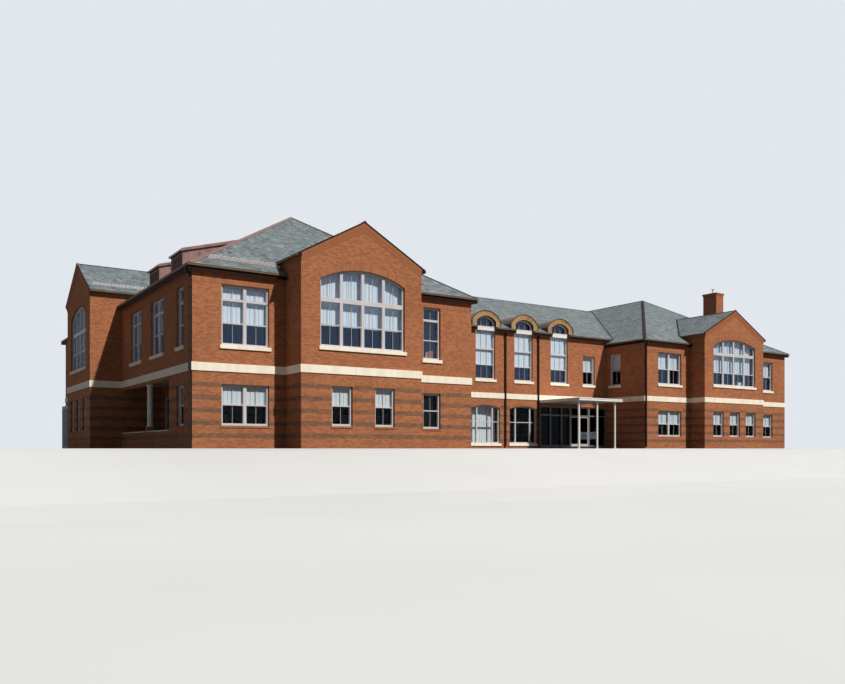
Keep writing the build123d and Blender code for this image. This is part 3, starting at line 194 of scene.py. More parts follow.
class Shader(Nodes):
    """One material's node tree, built on its Principled shader."""

    def __init__(self, name, roughness=0.9, metallic=0.0, specular=0.5):
        self.material = bpy.data.materials.new(name)
        self.material.use_nodes = True
        super().__init__(self.material.node_tree)
        self.surface = self.tree.nodes["Principled BSDF"].inputs
        self.surface["Roughness"].default_value = roughness
        self.surface["Metallic"].default_value = metallic
        self.surface["Specular IOR Level"].default_value = specular

    def position(self):
        return self.put("TexCoord").outputs["Object"]

    def split(self, vector):
        return self.put("SeparateXYZ", {"Vector": vector}).outputs

    def normal(self):
        return self.split(self.put("NewGeometry").outputs["Normal"])

    def tone(self):
        """The piece's own tone for each brick or slate."""
        colour = self.put("Attribute", attribute_name="tone").outputs["Color"]
        return self.put("SeparateColor", {"Color": colour}).outputs

    def noise(self, scale, detail=3.0, stretch=(1, 1, 1)):
        place = self.put("Mapping", {"Vector": self.position(), "Scale": stretch})
        return self.put("TexNoise", {"Vector": place.outputs[0], "Scale": scale, "Detail": detail}).outputs["Fac"]

    def ramp(self, value, *stops):
        node = self.put("ValToRGB", {"Fac": value})
        elements = node.color_ramp.elements
        while len(elements) < len(stops):
            elements.new(0.5)
        for element, (at, colour) in zip(elements, stops):
            element.position, element.color = at, (*colour[:3], 1)
        return node.outputs["Color"]

    def tint(self, colour, value, *stops, amount=1.0):
        """The colour times a ramp over a value."""
        return self.mix(amount, colour, self.ramp(value, *stops), "MULTIPLY")

    def colour(self, value):
        self.tree.links.new(value, self.surface["Base Color"])

    def rough(self, value, spread, least):
        value = self.math("ADD", self.math("MULTIPLY", value, spread), least)
        self.tree.links.new(value, self.surface["Roughness"])

    def bump(self, height, distance, strength):
        node = self.put("Bump", {"Height": height, "Distance": distance, "Strength": strength})
        self.tree.links.new(node.outputs[0], self.surface["Normal"])

    def courses(self, lift, colours, joint, smooth, width, height, bias=0.0):
        """Blocks in courses along an upright wall: their brick node and the wall's height."""
        parts = self.split(self.position())
        run = self.math("ADD", parts[0], parts[1])
        place = self.put("CombineXYZ", {"X": run, "Y": self.math("ADD", parts[2], lift)}).outputs[0]
        node = self.put("TexBrick", {
            "Vector": place, "Color1": srgb(*colours[0]), "Color2": srgb(*colours[1]), "Mortar": srgb(*colours[2]),
            "Scale": 1.0, "Mortar Size": joint, "Mortar Smooth": smooth, "Bias": bias,
            "Brick Width": width, "Row Height": height})
        return node, parts[2]

    def coursed_bump(self, grain, share, joints, distance, strength=0.7):
        grain = self.math("MULTIPLY", grain, share)
        self.bump(self.math("SUBTRACT", grain, joints.outputs["Fac"]), distance, strength)


def srgb(red, green, blue):
    """Linear colour from the 0 to 255 values that a screen shows."""
    def linear(value):
        value /= 255
        return value / 12.92 if value <= 0.04045 else ((value + 0.055) / 1.055) ** 2.4
    return (linear(red), linear(green), linear(blue), 1)


def brick_wall():
    """Running bond with tinted joints, and three dark courses in every eight on the ground floor."""
    shader = Shader("brick_wall", specular=0.12)
    colours = (185, 117, 78), (146, 94, 67), (172, 132, 105)
    brick, height = shader.courses(9.5 * COURSE - BAND_FIRST, colours, JOINT / 2, 0.2, BRICK, COURSE, -0.1)
    colour = shader.tint(brick.outputs["Color"], shader.noise(48, 2, (1, 1, 2)),
                         (0.5, (1, 1, 1)), (0.75, (0.92, 0.89, 0.89)))
    colour = shader.tint(colour, shader.noise(0.55, 5), (0.30, (0.90, 0.88, 0.86)), (0.72, (1.07, 1.06, 1.05)))
    step = shader.math("PINGPONG", shader.math("SUBTRACT", height, BAND_FIRST), BAND_PITCH / 2)
    in_band = shader.math("LESS_THAN", step, BAND_HALF)
    low = shader.math("LESS_THAN", height, BAND_FIRST + 4.5 * BAND_PITCH)
    high = shader.math("GREATER_THAN", height, BAND_FIRST - BAND_PITCH / 2)
    band = shader.math("MULTIPLY", in_band, shader.math("MULTIPLY", low, high))
    dark = shader.mix(1.0, colour, (0.50, 0.71, 0.96, 1), "MULTIPLY")
    ragged = shader.ramp(shader.noise(13, 2, (1, 1, 2)), (0.35, (0.62, 0.62, 0.62)), (0.6, (1, 1, 1)))
    shader.colour(shader.mix(shader.math("MULTIPLY", band, ragged), colour, dark))
    shader.coursed_bump(shader.noise(160, 4), 0.25, brick, 0.0035)
    return shader.material


def brick_trim():
    """Separate bricks of the soldier courses, arches and sills, each of its own tone."""
    shader = Shader("brick_trim", 0.88, specular=0.12)
    colour = shader.ramp(shader.tone()["Red"], (0.0, srgb(155, 100, 71)), (0.5, srgb(168, 109, 76)),
                         (1.0, srgb(181, 117, 80)))
    shader.colour(shader.tint(colour, shader.noise(70, 3), (0.35, (0.92, 0.9, 0.88)), (0.65, (1.05, 1.05, 1.04))))
    shader.bump(shader.noise(190, 4), 0.0015, 0.5)
    return shader.material


def cast_stone():
    """Pale stone with fine joints between its lengths and faint rain streaks."""
    shader = Shader("cast_stone", 0.85, specular=0.2)
    colours = (253, 243, 225), (247, 236, 217), (204, 188, 164)
    block, _ = shader.courses(-BELT_BOTTOM, colours, 0.0025, 0.1, 0.61, 0.4)
    block.offset = 0.0
    shader.colour(shader.tint(block.outputs["Color"], shader.noise(6, 4, (1, 1, 0.15)),
                              (0.32, (0.88, 0.86, 0.83)), (0.6, (1, 1, 1)), amount=0.8))
    shader.coursed_bump(shader.noise(120, 3), 0.2, block, 0.0025, 0.6)
    return shader.material


def slate():
    """Split slate in greens, greys and purples, one tone for each slate."""
    shader = Shader("slate", 0.7, specular=0.08)
    tone = shader.tone()
    colour = shader.ramp(
        tone["Red"], (0.0, srgb(88, 98, 104)), (0.25, srgb(121, 132, 132)), (0.5, srgb(106, 116, 122)),
        (0.72, srgb(138, 147, 147)), (0.88, srgb(118, 118, 128)), (1.0, srgb(134, 130, 122)))
    shader.colour(shader.tint(colour, shader.noise(2.2, 5, (1, 1, 3.2)),
                              (0.3, (0.74, 0.77, 0.79)), (0.7, (1.16, 1.16, 1.13))))
    shader.rough(tone["Green"], 0.2, 0.5)
    shader.bump(shader.noise(48, 5), 0.003, 0.6)
    return shader.material


def mottled(name, dark, light, patches, grain, depth, strength=0.5, **finish):
    """Two near colours in patches, raised by a fine grain. Patches and grain are each what noise() takes."""
    shader = Shader(name, **finish)
    shader.colour(shader.ramp(shader.noise(*patches), (0.3, dark), (0.7, light)))
    shader.bump(shader.noise(*grain), depth, strength)
    return shader.material


def painted(name, colour, roughness, streak, metallic=0.0, specular=0.15):
    """Paint or sheet metal with soft streaks down the wall and a fine orange peel."""
    dull, bright = ([min(1, value * scale) for value in srgb(*colour)[:3]]
                    for scale in (1 - 2.2 * streak, 1 + streak))
    return mottled(name, dull, bright, (3, 4, (1, 1, 0.3)), (90, 2), 0.0006, 0.4,
                   roughness=roughness, metallic=metallic, specular=specular)


def copper(name, colour, aged, sides=None):
    """Weathered sheet copper, browner where it has aged. Given a sides colour, every face that does not face the
    front takes it as painted shade.
    """
    shader = Shader(name, 0.6, 0.0, 0.3)
    base = srgb(*colour)
    patches = shader.noise(5, 6)
    shown = shader.ramp(patches, (0.28, srgb(*aged)), (0.48, base), (0.75, [min(1, v * 1.12) for v in base]))
    # Painted shade: faces turned away from the front take the darker sides colour.
    if sides:
        shown = shader.mix(shader.math("GREATER_THAN", shader.normal()["Y"], -0.6), shown, srgb(*sides))
    shader.colour(shown)
    shader.rough(patches, 0.35, 0.4)
    shader.bump(shader.noise(30, 3), 0.0012, 0.4)
    return shader.material


def roof_deck():
    """Boards under the slates: dark above, stained brown where the eaves show them."""
    shader = Shader("roof_deck", 0.75)
    below = shader.math("LESS_THAN", shader.normal()["Z"], -0.3)
    grain = shader.noise(26, 4, (0.2, 1, 1))
    boards = shader.ramp(grain, (0.3, srgb(62, 44, 34)), (0.7, srgb(84, 62, 48)))
    shader.colour(shader.mix(below, srgb(58, 60, 58), boards))
    shader.bump(grain, 0.002, 0.4)
    return shader.material


def glass(name, tint, painted_reflection):
    """Window glass that lets the sun through to the blinds and mirrors the world at a slant. The mirror's colour is a
    painted reflection: the given colour above the belt, near black below it.
    """
    shader = Shader(name, 0.03)
    clear = shader.put("BsdfTransparent", {"Color": tint})
    # Painted reflection: panes above the belt mirror in the given colour, panes below it in near black.
    upper = shader.math("GREATER_THAN", shader.split(shader.position())["Z"], BELT_BOTTOM)
    shown = shader.mix(upper, (0.10, 0.12, 0.15, 1), painted_reflection)
    mirror = shader.put("BsdfGlossy", {"Color": shown, "Roughness": 0.02})
    facing = shader.put("LayerWeight", {"Blend": 0.5}).outputs["Facing"]
    slant = shader.math("MULTIPLY_ADD", shader.math("POWER", facing, 5), 0.9, 0.05)
    pane = shader.put("MixShader", {0: slant, 1: clear.outputs[0], 2: mirror.outputs[0]})
    ending = shader.tree.nodes["Material Output"]
    shader.tree.links.new(pane.outputs[0], ending.inputs["Surface"])
    shader.surface["Base Color"].default_value = tint
    return shader.material


WEAVE = (220, 2, (1, 1, 0.3))
MATERIALS = {
    "brick": brick_wall(),
    "trim": brick_trim(),
    "mortar": mottled("mortar", srgb(152, 110, 82), srgb(170, 126, 96), (60,), (240,), 0.001,
                      roughness=0.93, specular=0.12),
    "stone": cast_stone(),
    "slate": slate(),
    "deck": roof_deck(),
    "frame": painted("frame_paint", (203, 199, 201), 0.5, 0.03),
    # The window glass mirrors in sky blue, a painted sky reflection.
    "glass": glass("window_glass", (0.92, 0.94, 0.955, 1), (0.44, 0.64, 1.0, 1)),
    # Painted shade: the entrance glass is tinted dark for the dark room behind it, and mirrors in near black, a
    # painted dark reflection.
    "clear": glass("entrance_glass", (0.36, 0.39, 0.41, 1), (0.10, 0.12, 0.16, 1)),
    "blind": mottled("blind_cloth", srgb(236, 242, 242), srgb(250, 253, 252), WEAVE, WEAVE, 0.001, 0.4),
    # The last colour is painted shade on the arch rings' and ribs' faces that do not face the front.
    "gold": copper("arch_copper_with_painted_shade", (182, 142, 96), (150, 110, 72), (84, 60, 44)),
    "copper": copper("roof_copper", (70, 62, 58), (50, 45, 43)),
    "rose": copper("dormer_copper", (146, 110, 106), (112, 82, 80)),
    "hip": copper("hip_copper", (118, 90, 80), (88, 66, 60)),
    "dark": painted("dark_metal", (46, 34, 31), 0.7, 0.12, 0.0, 0.03),
    "flashing": painted("hip_metal", (52, 44, 44), 0.75, 0.12, 0.0, 0.03),
    "gutter": painted("gutter_metal", (114, 94, 76), 0.6, 0.08),
    "pipe": painted("pipe_metal", (58, 40, 38), 0.6, 0.08, 0.0, 0.06),
    "guard": painted("guard_metal", (244, 236, 236), 0.5, 0.03),
    "aluminium": painted("door_aluminium", (190, 190, 186), 0.45, 0.03, 0.2, 0.4),
    # Painted shade: the storefront's aluminium is a darker copy of the doors', for the canopy's shade on it.
    "mullion": painted("storefront_aluminium_painted_shade", (120, 118, 114), 0.5, 0.03, 0.2, 0.3),
    "canopy": painted("canopy_paint", (232, 229, 224), 0.5, 0.03),
    "screen": painted("screen_metal", (96, 112, 134), 0.5, 0.06),
    "concrete": mottled("concrete", srgb(150, 146, 138), srgb(178, 174, 166), (4, 6), (60, 4), 0.002),
}

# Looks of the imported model's nodes: the first part of a name that fits, and brick for the rest
NODE_LOOKS = (
    ("_floor", "concrete"), ("entrance_glass", "clear"), ("storefront_glass", "clear"), ("window_glass", "glass"),
    ("entrance", "aluminium"), ("storefront", "mullion"), ("window_frames", "frame"), ("stone_belt", "stone"),
    ("window_sills", "stone"), ("gutters", "gutter"), ("downspouts", "pipe"), ("screen", "screen"),
    ("arch_rings", "gold"), ("arch_roofs", "copper"), ("dormer", "rose"), ("canopy", "canopy"),
    ("porch_column", "canopy"), ("roof", "deck"))
for name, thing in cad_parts.items():
    thing.data.materials.clear()
    thing.data.materials.append(MATERIALS[next((look for part, look in NODE_LOOKS if part in name), "brick")])


# Meshes

def steps(first, last, count):
    return [first + (last - first) * n / count for n in range(count + 1)]


def pairs(edges):
    """The stretches between the first and second edge, the third and fourth, and so on."""
    return list(zip(edges[::2], edges[1::2]))


def evenly(u0, u1, count):
    return [u0 + (n + 0.5) * (u1 - u0) / count for n in range(count)]


def arc_radius(width, rise):
    return (width * width / 4 + rise * rise) / (2 * rise)


def arc_height(width, spring, crown, offset):
    """Height of a segmental arch at an offset from its centre."""
    radius = arc_radius(width, crown - spring)
    return crown - radius + math.sqrt(max(radius * radius - offset * offset, 0))


def add_object(name, data):
    thing = bpy.data.objects.new(name, data)
    bpy.context.scene.collection.objects.link(thing)
    return thing


class Piece:
    """Collects the faces of one piece, each with its own tone."""

    def __init__(self):
        self.points, self.faces, self.tones = [], [], []

    def loft(self, sections, tone=None):
        """Closed solid through sections that have the same number of points."""
        count, base = len(sections[0]), len(self.points)
        tone = dice.random() if tone is None else tone
        faces = [(row * count + n, row * count + (n + 1) % count,
                  (row + 1) * count + (n + 1) % count, (row + 1) * count + n)
                 for row in range(len(sections) - 1) for n in range(count)]
        faces += [range(count), range(count * (len(sections) - 1), count * len(sections))]
        self.points += [point for section in sections for point in section]
        self.faces += [[base + n for n in face] for face in faces]
        self.tones += [tone] * len(faces)

    def band(self, facade, us, lows, highs, d0, d1, tone=None):
        """Solid between a lower and an upper edge that run along a facade."""
        self.loft([[facade.point(u, d0, low), facade.point(u, d1, low),
                    facade.point(u, d1, high), facade.point(u, d0, high)]
                   for u, low, high in zip(us, lows, highs)], tone)

    def block(self, facade, u0, u1, d0, d1, z0, z1, tone=None):
        self.band(facade, (u0, u1), (z0, z0), (z1, z1), d0, d1, tone)

    def slab(self, x0, x1, y0, y1, z0, z1):
        """Upright box in the model's own coordinates."""
        self.loft([[Vector((x, y, z)) for x, y in ((x0, y0), (x1, y0), (x1, y1), (x0, y1))] for z in (z0, z1)])

    def turned(self, centre, low, high, count=24):
        """Round solid between two rings, each a radius and a height."""
        self.loft([[Vector((centre.x + radius * math.cos(a), centre.y + radius * math.sin(a), z))
                    for a in steps(0, 2 * math.pi, count)[:-1]] for radius, z in (low, high)])

    def build(self, name, material):
        mesh = bpy.data.meshes.new(name)
        mesh.from_pydata(self.points, [], self.faces)
        shape = bmesh.new()
        shape.from_mesh(mesh)
        bmesh.ops.recalc_face_normals(shape, faces=shape.faces)
        shape.to_mesh(mesh)
        shape.free()
        tone = mesh.color_attributes.new("tone", "FLOAT_COLOR", "CORNER")
        values = []
        for polygon, value in zip(mesh.polygons, self.tones):
            values += (value, value * 7.3 % 1, value * 3.1 % 1, 1) * polygon.loop_total
        tone.data.foreach_set("color", values)
        mesh.materials.append(material)
        return add_object(name, mesh)

    def place(self, name, material, slot, bevel=0.0):
        """Makes the object and rides it on the building. The slot argument is not used."""
        thing = self.build(name, MATERIALS[material])
        if bevel:
            edge = thing.modifiers.new("edge", "BEVEL")
            edge.width, edge.segments, edge.limit_method = bevel, 1, "ANGLE"
        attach(thing, "building")


# Windows

FRAME_WIDTH = 0.045
FRAME_BACK = 0.12
MULLION = 0.08
SASH = 0.01
SASH_FRONT = 0.082
RAIL = 0.03
RAIL_FRONT = 0.07
BAR_FRONT = 0.066
MUNTIN = 0.007
MUNTIN_FRONT = 0.102


@dataclass(frozen=True)
class Window:
    """A window of one facade, with the bars and the blind that show in it."""

    facade: Facade
    centre: float
    width: float
    sill: float
    spring: float
    crown: float = 0
    mullions: tuple = ()
    transoms: tuple = ()
    bars: tuple = ()
    rail: float = 0
    muntins: int = 1
    blind: float = 0
    brick_head: bool = True
    brick_sill: bool = False
    post: float = MULLION
    sash: float = SASH
    hang: float = 0.165
    blind_top: float = 0

    def span(self, margin=0):
        half = self.width / 2 + margin
        return self.centre - half, self.centre + half

    def inner_top(self, u):
        """Underside of the frame's head."""
        if self.crown <= self.spring:
            return self.spring - FRAME_WIDTH
        return arc_height(self.width - 2 * FRAME_WIDTH, self.spring, self.crown - FRAME_WIDTH, u - self.centre)

    def columns(self):
        """Sides of each light between the mullions."""
        half = self.width / 2 - FRAME_WIDTH
        edges = [at + side * self.post / 2 for at in self.mullions for side in (-1, 1)]
        return pairs([self.centre + edge for edge in (-half, *edges, half)])

    def rows(self):
        """Foot and head of each light between the transoms, with no head for those under the frame's own."""
        levels = [at + side * height / 2 for at, height in sorted(self.transoms + self.bars) for side in (-1, 1)]
        return pairs([self.sill + FRAME_WIDTH, *levels, None])


# Windows of the wings: the upper floor's, the ground floor's and the foot of a fully closed blind
LEFT_STYLE = ({"sill": 2.5, "spring": 3.965, "bars": ((3.6, 0.055),), "rail": 3.04},
              {"sill": 0.555, "spring": 1.55, "rail": 1.06, "brick_sill": True, "hang": 0.135}, 0.54)
RIGHT_STYLE = ({"sill": 2.54, "spring": 3.8, "rail": 3.145},
               {"sill": 0.48, "spring": 1.495, "rail": 0.97, "hang": 0.135}, 0.47)
LEFT_DOUBLE, LEFT_SINGLE, RIGHT_DOUBLE, RIGHT_SINGLE = 1.22, 0.585, 1.38, 0.71

# Big arched windows: width, sill, spring, crown, transom and meeting rail
LEFT_ARCH = (2.445, 2.525, 4.2, 4.5, 3.695, 3.075)
RIGHT_ARCH = (2.755, 2.56, 4.185, 4.455, 3.83, 3.086)

# Arched windows of the link and the metal ring round each
LINK_BAYS = [LEFT_WIDTH + 2.265 + n * 1.82 for n in range(4)]
LINK_ARCH_WIDTH = 0.895
LINK_ARCH_SPRING = 4.675
LINK_ARCH_CROWN = 4.87
RING_WIDTH = 1.335
RING_CROWN = 5.06
RING_FOOT = 4.475


def wing_pair(facade, centres, width, floors="both", closed=False):
    """The same window on one floor or both at each place of a wing, the lower blind half or fully closed."""
    upper, lower, foot = RIGHT_STYLE if facade.eave == RIGHT_EAVE else LEFT_STYLE
    found = []
    for at in centres:
        for floor, style in (("upper", upper), ("lower", lower)):
            if floors in (floor, "both"):
                blind = foot if closed and style is lower else style["rail"]
                found.append(Window(facade, at, width, mullions=(0,) if width > 1 else (), blind=blind, **style))
    return found


def big_arch(bay, width, sill, spring, crown, transom, rail):
    return Window(bay.front, bay.centre, width, sill, spring, crown, (-width / 4, 0, width / 4), ((transom, 0.11),),
                  rail=rail, blind=rail, brick_head=False, hang=0.215)


def arch_edges(margin):
    """Edges of the link's arched windows from left to right, moved outward by the margin."""
    return [at + side * (LINK_ARCH_WIDTH / 2 + margin) for at in LINK_BAYS for side in (-1, 1)]


BIG_ARCHES = [big_arch(LEFT_BAY, *LEFT_ARCH), big_arch(WEST_BAY, *LEFT_ARCH), big_arch(RIGHT_BAY, *RIGHT_ARCH)]
TALL_ARCHES = [Window(LINK_FRONT, at, LINK_ARCH_WIDTH, 2.54, LINK_ARCH_SPRING, LINK_ARCH_CROWN,
                      transoms=((4.412, 0.145),), bars=((3.66, 0.055),), rail=3.08, muntins=2, blind=3.08,
                      brick_head=False, hang=0.14, blind_top=4.4) for at in LINK_BAYS]
LOW_ARCHES = [Window(LINK_FRONT, at, 1.35, 0.185, 1.485, 1.6, mullions=(-0.358, 0.358), bars=((0.985, 0.022),),
                     muntins=0, blind=0.2 if at == LINK_BAYS[1] else 0, brick_head=False, post=0.05, sash=0.004,
                     hang=0.3) for at in LINK_BAYS[:3]]
WINDOW_GROUPS = {
    "left_front": wing_pair(LEFT_FRONT, (1.325,), LEFT_DOUBLE)
    + [replace(window, blind=0) for window in wing_pair(LEFT_FRONT, (LEFT_WIDTH - 1.38,), LEFT_SINGLE)],
    "left_bay": BIG_ARCHES[:1] + wing_pair(LEFT_BAY.front, (LEFT_BAY.centre - 0.62, LEFT_BAY.centre + 0.62),
                                           LEFT_SINGLE, "lower"),
    "west": wing_pair(WEST, (0.96,), LEFT_SINGLE) + wing_pair(WEST, (3.0, 5.225), LEFT_DOUBLE, "upper")
    + wing_pair(WEST, evenly(WEST_BAY_END, LEFT_DEPTH, 2), LEFT_DOUBLE),
    "west_bay": BIG_ARCHES[1:2] + wing_pair(WEST_BAY.front, [WEST_BAY.centre + n for n in (-1, 0, 1)],
                                            LEFT_SINGLE, "lower"),
    "left_east": wing_pair(LEFT_EAST, evenly(0, LINK_SETBACK, 1), LEFT_DOUBLE, closed=True)
    + wing_pair(LEFT_EAST, evenly(LINK_REAR, LEFT_DEPTH, 1), LEFT_SINGLE),
    "left_rear": wing_pair(LEFT_REAR, evenly(0, LEFT_WIDTH, 2), LEFT_DOUBLE, closed=True),
    "right_front": wing_pair(RIGHT_FRONT, (RIGHT_X + 1.48,), RIGHT_DOUBLE)
    + wing_pair(RIGHT_FRONT, (RIGHT_END - 1.273,), RIGHT_SINGLE),
    "right_bay": BIG_ARCHES[2:] + wing_pair(RIGHT_BAY.front, [RIGHT_BAY.centre + n * 1.063 for n in (-1, 0, 1)],
                                            0.67, "lower"),
    "right_sides": wing_pair(RIGHT_WEST, (RIGHT_SETBACK + 1.53,), LEFT_SINGLE, "upper")
    + wing_pair(RIGHT_WEST, evenly(LINK_REAR, LEFT_DEPTH, 1), RIGHT_SINGLE)
    + wing_pair(RIGHT_EAST, evenly(RIGHT_SETBACK, LEFT_DEPTH, 4), RIGHT_DOUBLE)
    + wing_pair(RIGHT_REAR, evenly(RIGHT_X, RIGHT_END, 2), RIGHT_DOUBLE, closed=True),
    "link": TALL_ARCHES + [Window(LINK_FRONT, at, 0.65, 2.54, 3.705, rail=3.08, blind=3.08)
                           for at in (LEFT_WIDTH + 0.7, RIGHT_X - 1.005)],
    "link_low": LOW_ARCHES,
    "link_rear": wing_pair(LINK_BACK, LINK_BAYS, LEFT_DOUBLE, closed=True),
    "porch": [Window(PORCH_BACK, at, 1.3, 0.525, 1.6, mullions=(0,), brick_head=False)
              for at in evenly(PORCH_START, PORCH_END, 3)],
}


def dress_light(piece, window, left, right, low, high):
    """Sash edges, meeting rail and muntins of one light of a window."""
    facade, sash, rail = window.facade, window.sash, window.rail

    def top(u):
        return window.inner_top(u) if high is None else high

    us = steps(left, right, 10 if high is None and window.crown > window.spring else 1)
    piece.band(facade, us, [top(u) - sash for u in us], [top(u) for u in us], SASH_FRONT, FRAME_BACK)
    piece.block(facade, left, right, SASH_FRONT, FRAME_BACK, low, low + sash)
    for sides in ((left, left + sash), (right - sash, right)):
        piece.band(facade, sides, [low + sash] * 2, [top(u) - sash for u in sides], SASH_FRONT, FRAME_BACK)
    levels = [low + sash]
    if low < rail < (high or window.spring):
        levels += [rail - RAIL / 2, rail + RAIL / 2]
        piece.block(facade, left, right, RAIL_FRONT, FRAME_BACK, *levels[1:])
    for at in steps(left, right, window.muntins + 1)[1:-1]:
        for z0, z1 in pairs(levels + [top(at) - sash]):
            piece.block(facade, at - MUNTIN / 2, at + MUNTIN / 2, MUNTIN_FRONT, FRAME_BACK, z0, z1)


def dress_sashes(name, windows):
    piece = Piece()
    for window in windows:
        for left, right in window.columns():
            for low, high in window.rows():
                dress_light(piece, window, left, right, low, high)
        for at, height in window.bars:
            piece.block(window.facade, *window.span(-FRAME_WIDTH), BAR_FRONT, FRAME_BACK,
                        at - height / 2, at + height / 2)
    piece.place(name + "_sashes", "frame", "window_frame")


SLAT = 0.11
SLAT_GAP = 0.014
SLAT_THICKNESS = 0.003
SLAT_TWIST = 0.004
BLIND_FOLD = 0.022


def hang_blinds(name, windows):
    """Blinds of upright slats inside the room, down to each window's meeting rail."""
    piece = Piece()
    for window in windows:
        if not window.blind:
            continue
        half = window.width / 2 + 0.02
        top = window.blind_top or max(window.crown, window.spring) + 0.03
        edges = steps(window.centre - half, window.centre + half, round(2 * half / SLAT))
        us, ds = [], []
        for left, right in zip(edges, edges[1:]):
            us += [left, right - SLAT_GAP, right - SLAT_GAP / 2]
            ds += [window.hang, window.hang + SLAT_TWIST * dice.random(), window.hang + BLIND_FOLD]
        foot = window.blind - 0.01
        piece.loft([[window.facade.point(u, d + out, z) for out, z in
                     ((0, foot), (SLAT_THICKNESS, foot), (SLAT_THICKNESS, top), (0, top))] for u, d in zip(us, ds)])
    if piece.points:
        piece.place(name + "_blinds", "blind", "window_frame")


# Brick trim

SOLDIER = 0.1015
SOLDIER_PITCH = 0.0375
BED_TONE = 0.5


def brick_row(bricks, beds, facade, u0, u1, brick, bed):
    """Upright bricks between two places on a wall. The brick and its bed are each a face, a foot and a head."""
    count = round((u1 - u0) / SOLDIER_PITCH)
    for left, right in zip(steps(u0, u1, count), steps(u0, u1, count)[1:]):
        bricks.block(facade, left + JOINT / 2, right - JOINT / 2, brick[0], SUNK, *brick[1:])
    beds.block(facade, u0, u1, bed[0], SUNK, *bed[1:], BED_TONE)


def soldier_course(bricks, beds, facade, u0, u1, foot):
    head = foot + SOLDIER
    brick_row(bricks, beds, facade, u0, u1, (-BRICK_PROUD, foot + JOINT / 2, head - JOINT / 2),
              (-BRICK_PROUD / 3, foot, head))


def voussoirs(bricks, beds, window, height):
    """Wedge bricks round a segmental head."""
    radius = arc_radius(window.width, window.crown - window.spring)
    reach = math.asin(window.width / 2 / radius)
    count = round(2 * reach * (radius + height / 2) / SOLDIER_PITCH)
    near, far, gap = radius + 0.001, radius + height, JOINT / 2 / radius

    def corner(angle, r, d):
        return window.facade.point(window.centre + r * math.sin(angle), d,
                                   window.crown - radius + r * math.cos(angle))

    edges = steps(-reach, reach, count)
    for a, b in zip(edges, edges[1:]):
        ring = ((a + gap, near), (b - gap, near), (b - gap, far), (a + gap, far))
        bricks.loft([[corner(angle, r, d) for angle, r in ring] for d in (-BRICK_PROUD, SUNK)])
    beds.loft([[corner(a, near, -BRICK_PROUD / 3), corner(a, near, SUNK), corner(a, far, SUNK),
                corner(a, far, -BRICK_PROUD / 3)] for a in steps(-reach, reach, 24)], BED_TONE)


def rake_bricks(bricks, beds, bay):
    """Two rows of bricks square to the slope under each rake of a gable, leaning out to its metal edge."""
    run, start = bay.width / 2, Vector((bay.centre, bay.ridge - 0.016))
    length = math.hypot(run, run * bay.slope)
    for side in (-1, 1):
        along = Vector((side * run / length, -run * bay.slope / length))
        down = Vector((side * along.y, -side * along.x))
        low, high = sorted((bay.centre, bay.centre + side * run))

        def brick(a, b, top, foot, sunk=0.0):
            sections = [[], []]
            for reach, depth in ((a, top), (b, top), (b, foot), (a, foot)):
                corner = start + along * reach + down * depth
                out = (RAKE_OVERHANG + 0.01) * (1 - depth / (2 * SOLDIER)) + BRICK_PROUD - sunk
                for section, d in zip(sections, (-out, SUNK)):
                    section.append(bay.front.point(max(min(corner.x, high), low), d, corner.y))
            return sections

        for row in range(2):
            top, foot = row * SOLDIER + JOINT / 2, (row + 1) * SOLDIER - JOINT / 2
            for n in range(round(length / SOLDIER_PITCH) + 2 + row):
                # Their tones lie at the lighter end: partly the lighter bricks under the rakes, partly painted light
                # that evens out the shade of their lean.
                bricks.loft(brick(n * SOLDIER_PITCH + JOINT / 2, (n + 1) * SOLDIER_PITCH - JOINT / 2, top, foot),
                            0.6 + 0.4 * dice.random())
        for reach, end in ((0, length), (length, length + 3 * SOLDIER_PITCH)):
            beds.loft(brick(reach, end, 0, 2 * SOLDIER, 0.003), BED_TONE)


# Bands of upright bricks at the heads of the upper windows: each facade and the ends of its stretches
HEAD_BANDS = (
    (LEFT_FRONT, 0, *LEFT_BAY.sides(), LEFT_WIDTH), (WEST, 0, *WEST_BAY.sides(), LEFT_DEPTH),
    (LEFT_EAST, 0, LINK_SETBACK, LINK_REAR, LEFT_DEPTH), (LEFT_REAR, 0, LEFT_WIDTH),
    (RIGHT_FRONT, RIGHT_X, *RIGHT_BAY.sides(), RIGHT_END),
    (RIGHT_WEST, RIGHT_SETBACK, LINK_SETBACK, LINK_REAR, LEFT_DEPTH), (RIGHT_EAST, RIGHT_SETBACK, LEFT_DEPTH),
    (RIGHT_REAR, RIGHT_X, RIGHT_END), (LINK_BACK, LEFT_WIDTH, RIGHT_X))
LINK_BAND = 4.06


def dress_bricks():
    bricks, beds = Piece(), Piece()
    for facade, *edges in HEAD_BANDS:
        style = RIGHT_STYLE if facade.eave == RIGHT_EAVE else LEFT_STYLE
        for u0, u1 in pairs(edges):
            soldier_course(bricks, beds, facade, u0, u1, style[0]["spring"] + 0.002)
    for windows in WINDOW_GROUPS.values():
        for window in windows:
            if window.brick_head and window.sill < 1:
                soldier_course(bricks, beds, window.facade, *window.span(0.05), window.spring + 0.002)
            if window.brick_sill:
                foot = window.sill - 0.052
                brick_row(bricks, beds, window.facade, *window.span(0.03), (-0.016, foot, window.sill - 0.002),
                          (-0.012, foot, window.sill - 0.004))
    for window in BIG_ARCHES:
        voussoirs(bricks, beds, window, 0.155)
    for window in LOW_ARCHES:
        voussoirs(bricks, beds, window, SOLDIER)
    for bay in BAYS:
        rake_bricks(bricks, beds, bay)
    for u0, u1 in pairs([LEFT_WIDTH, *arch_edges(0.01), RIGHT_X]):
        soldier_course(bricks, beds, LINK_FRONT, u0, u1, LINK_BAND)
    bricks.place("brick_trim", "trim", "brick")
    beds.place("trim_mortar", "mortar", "brick")


# Roofs

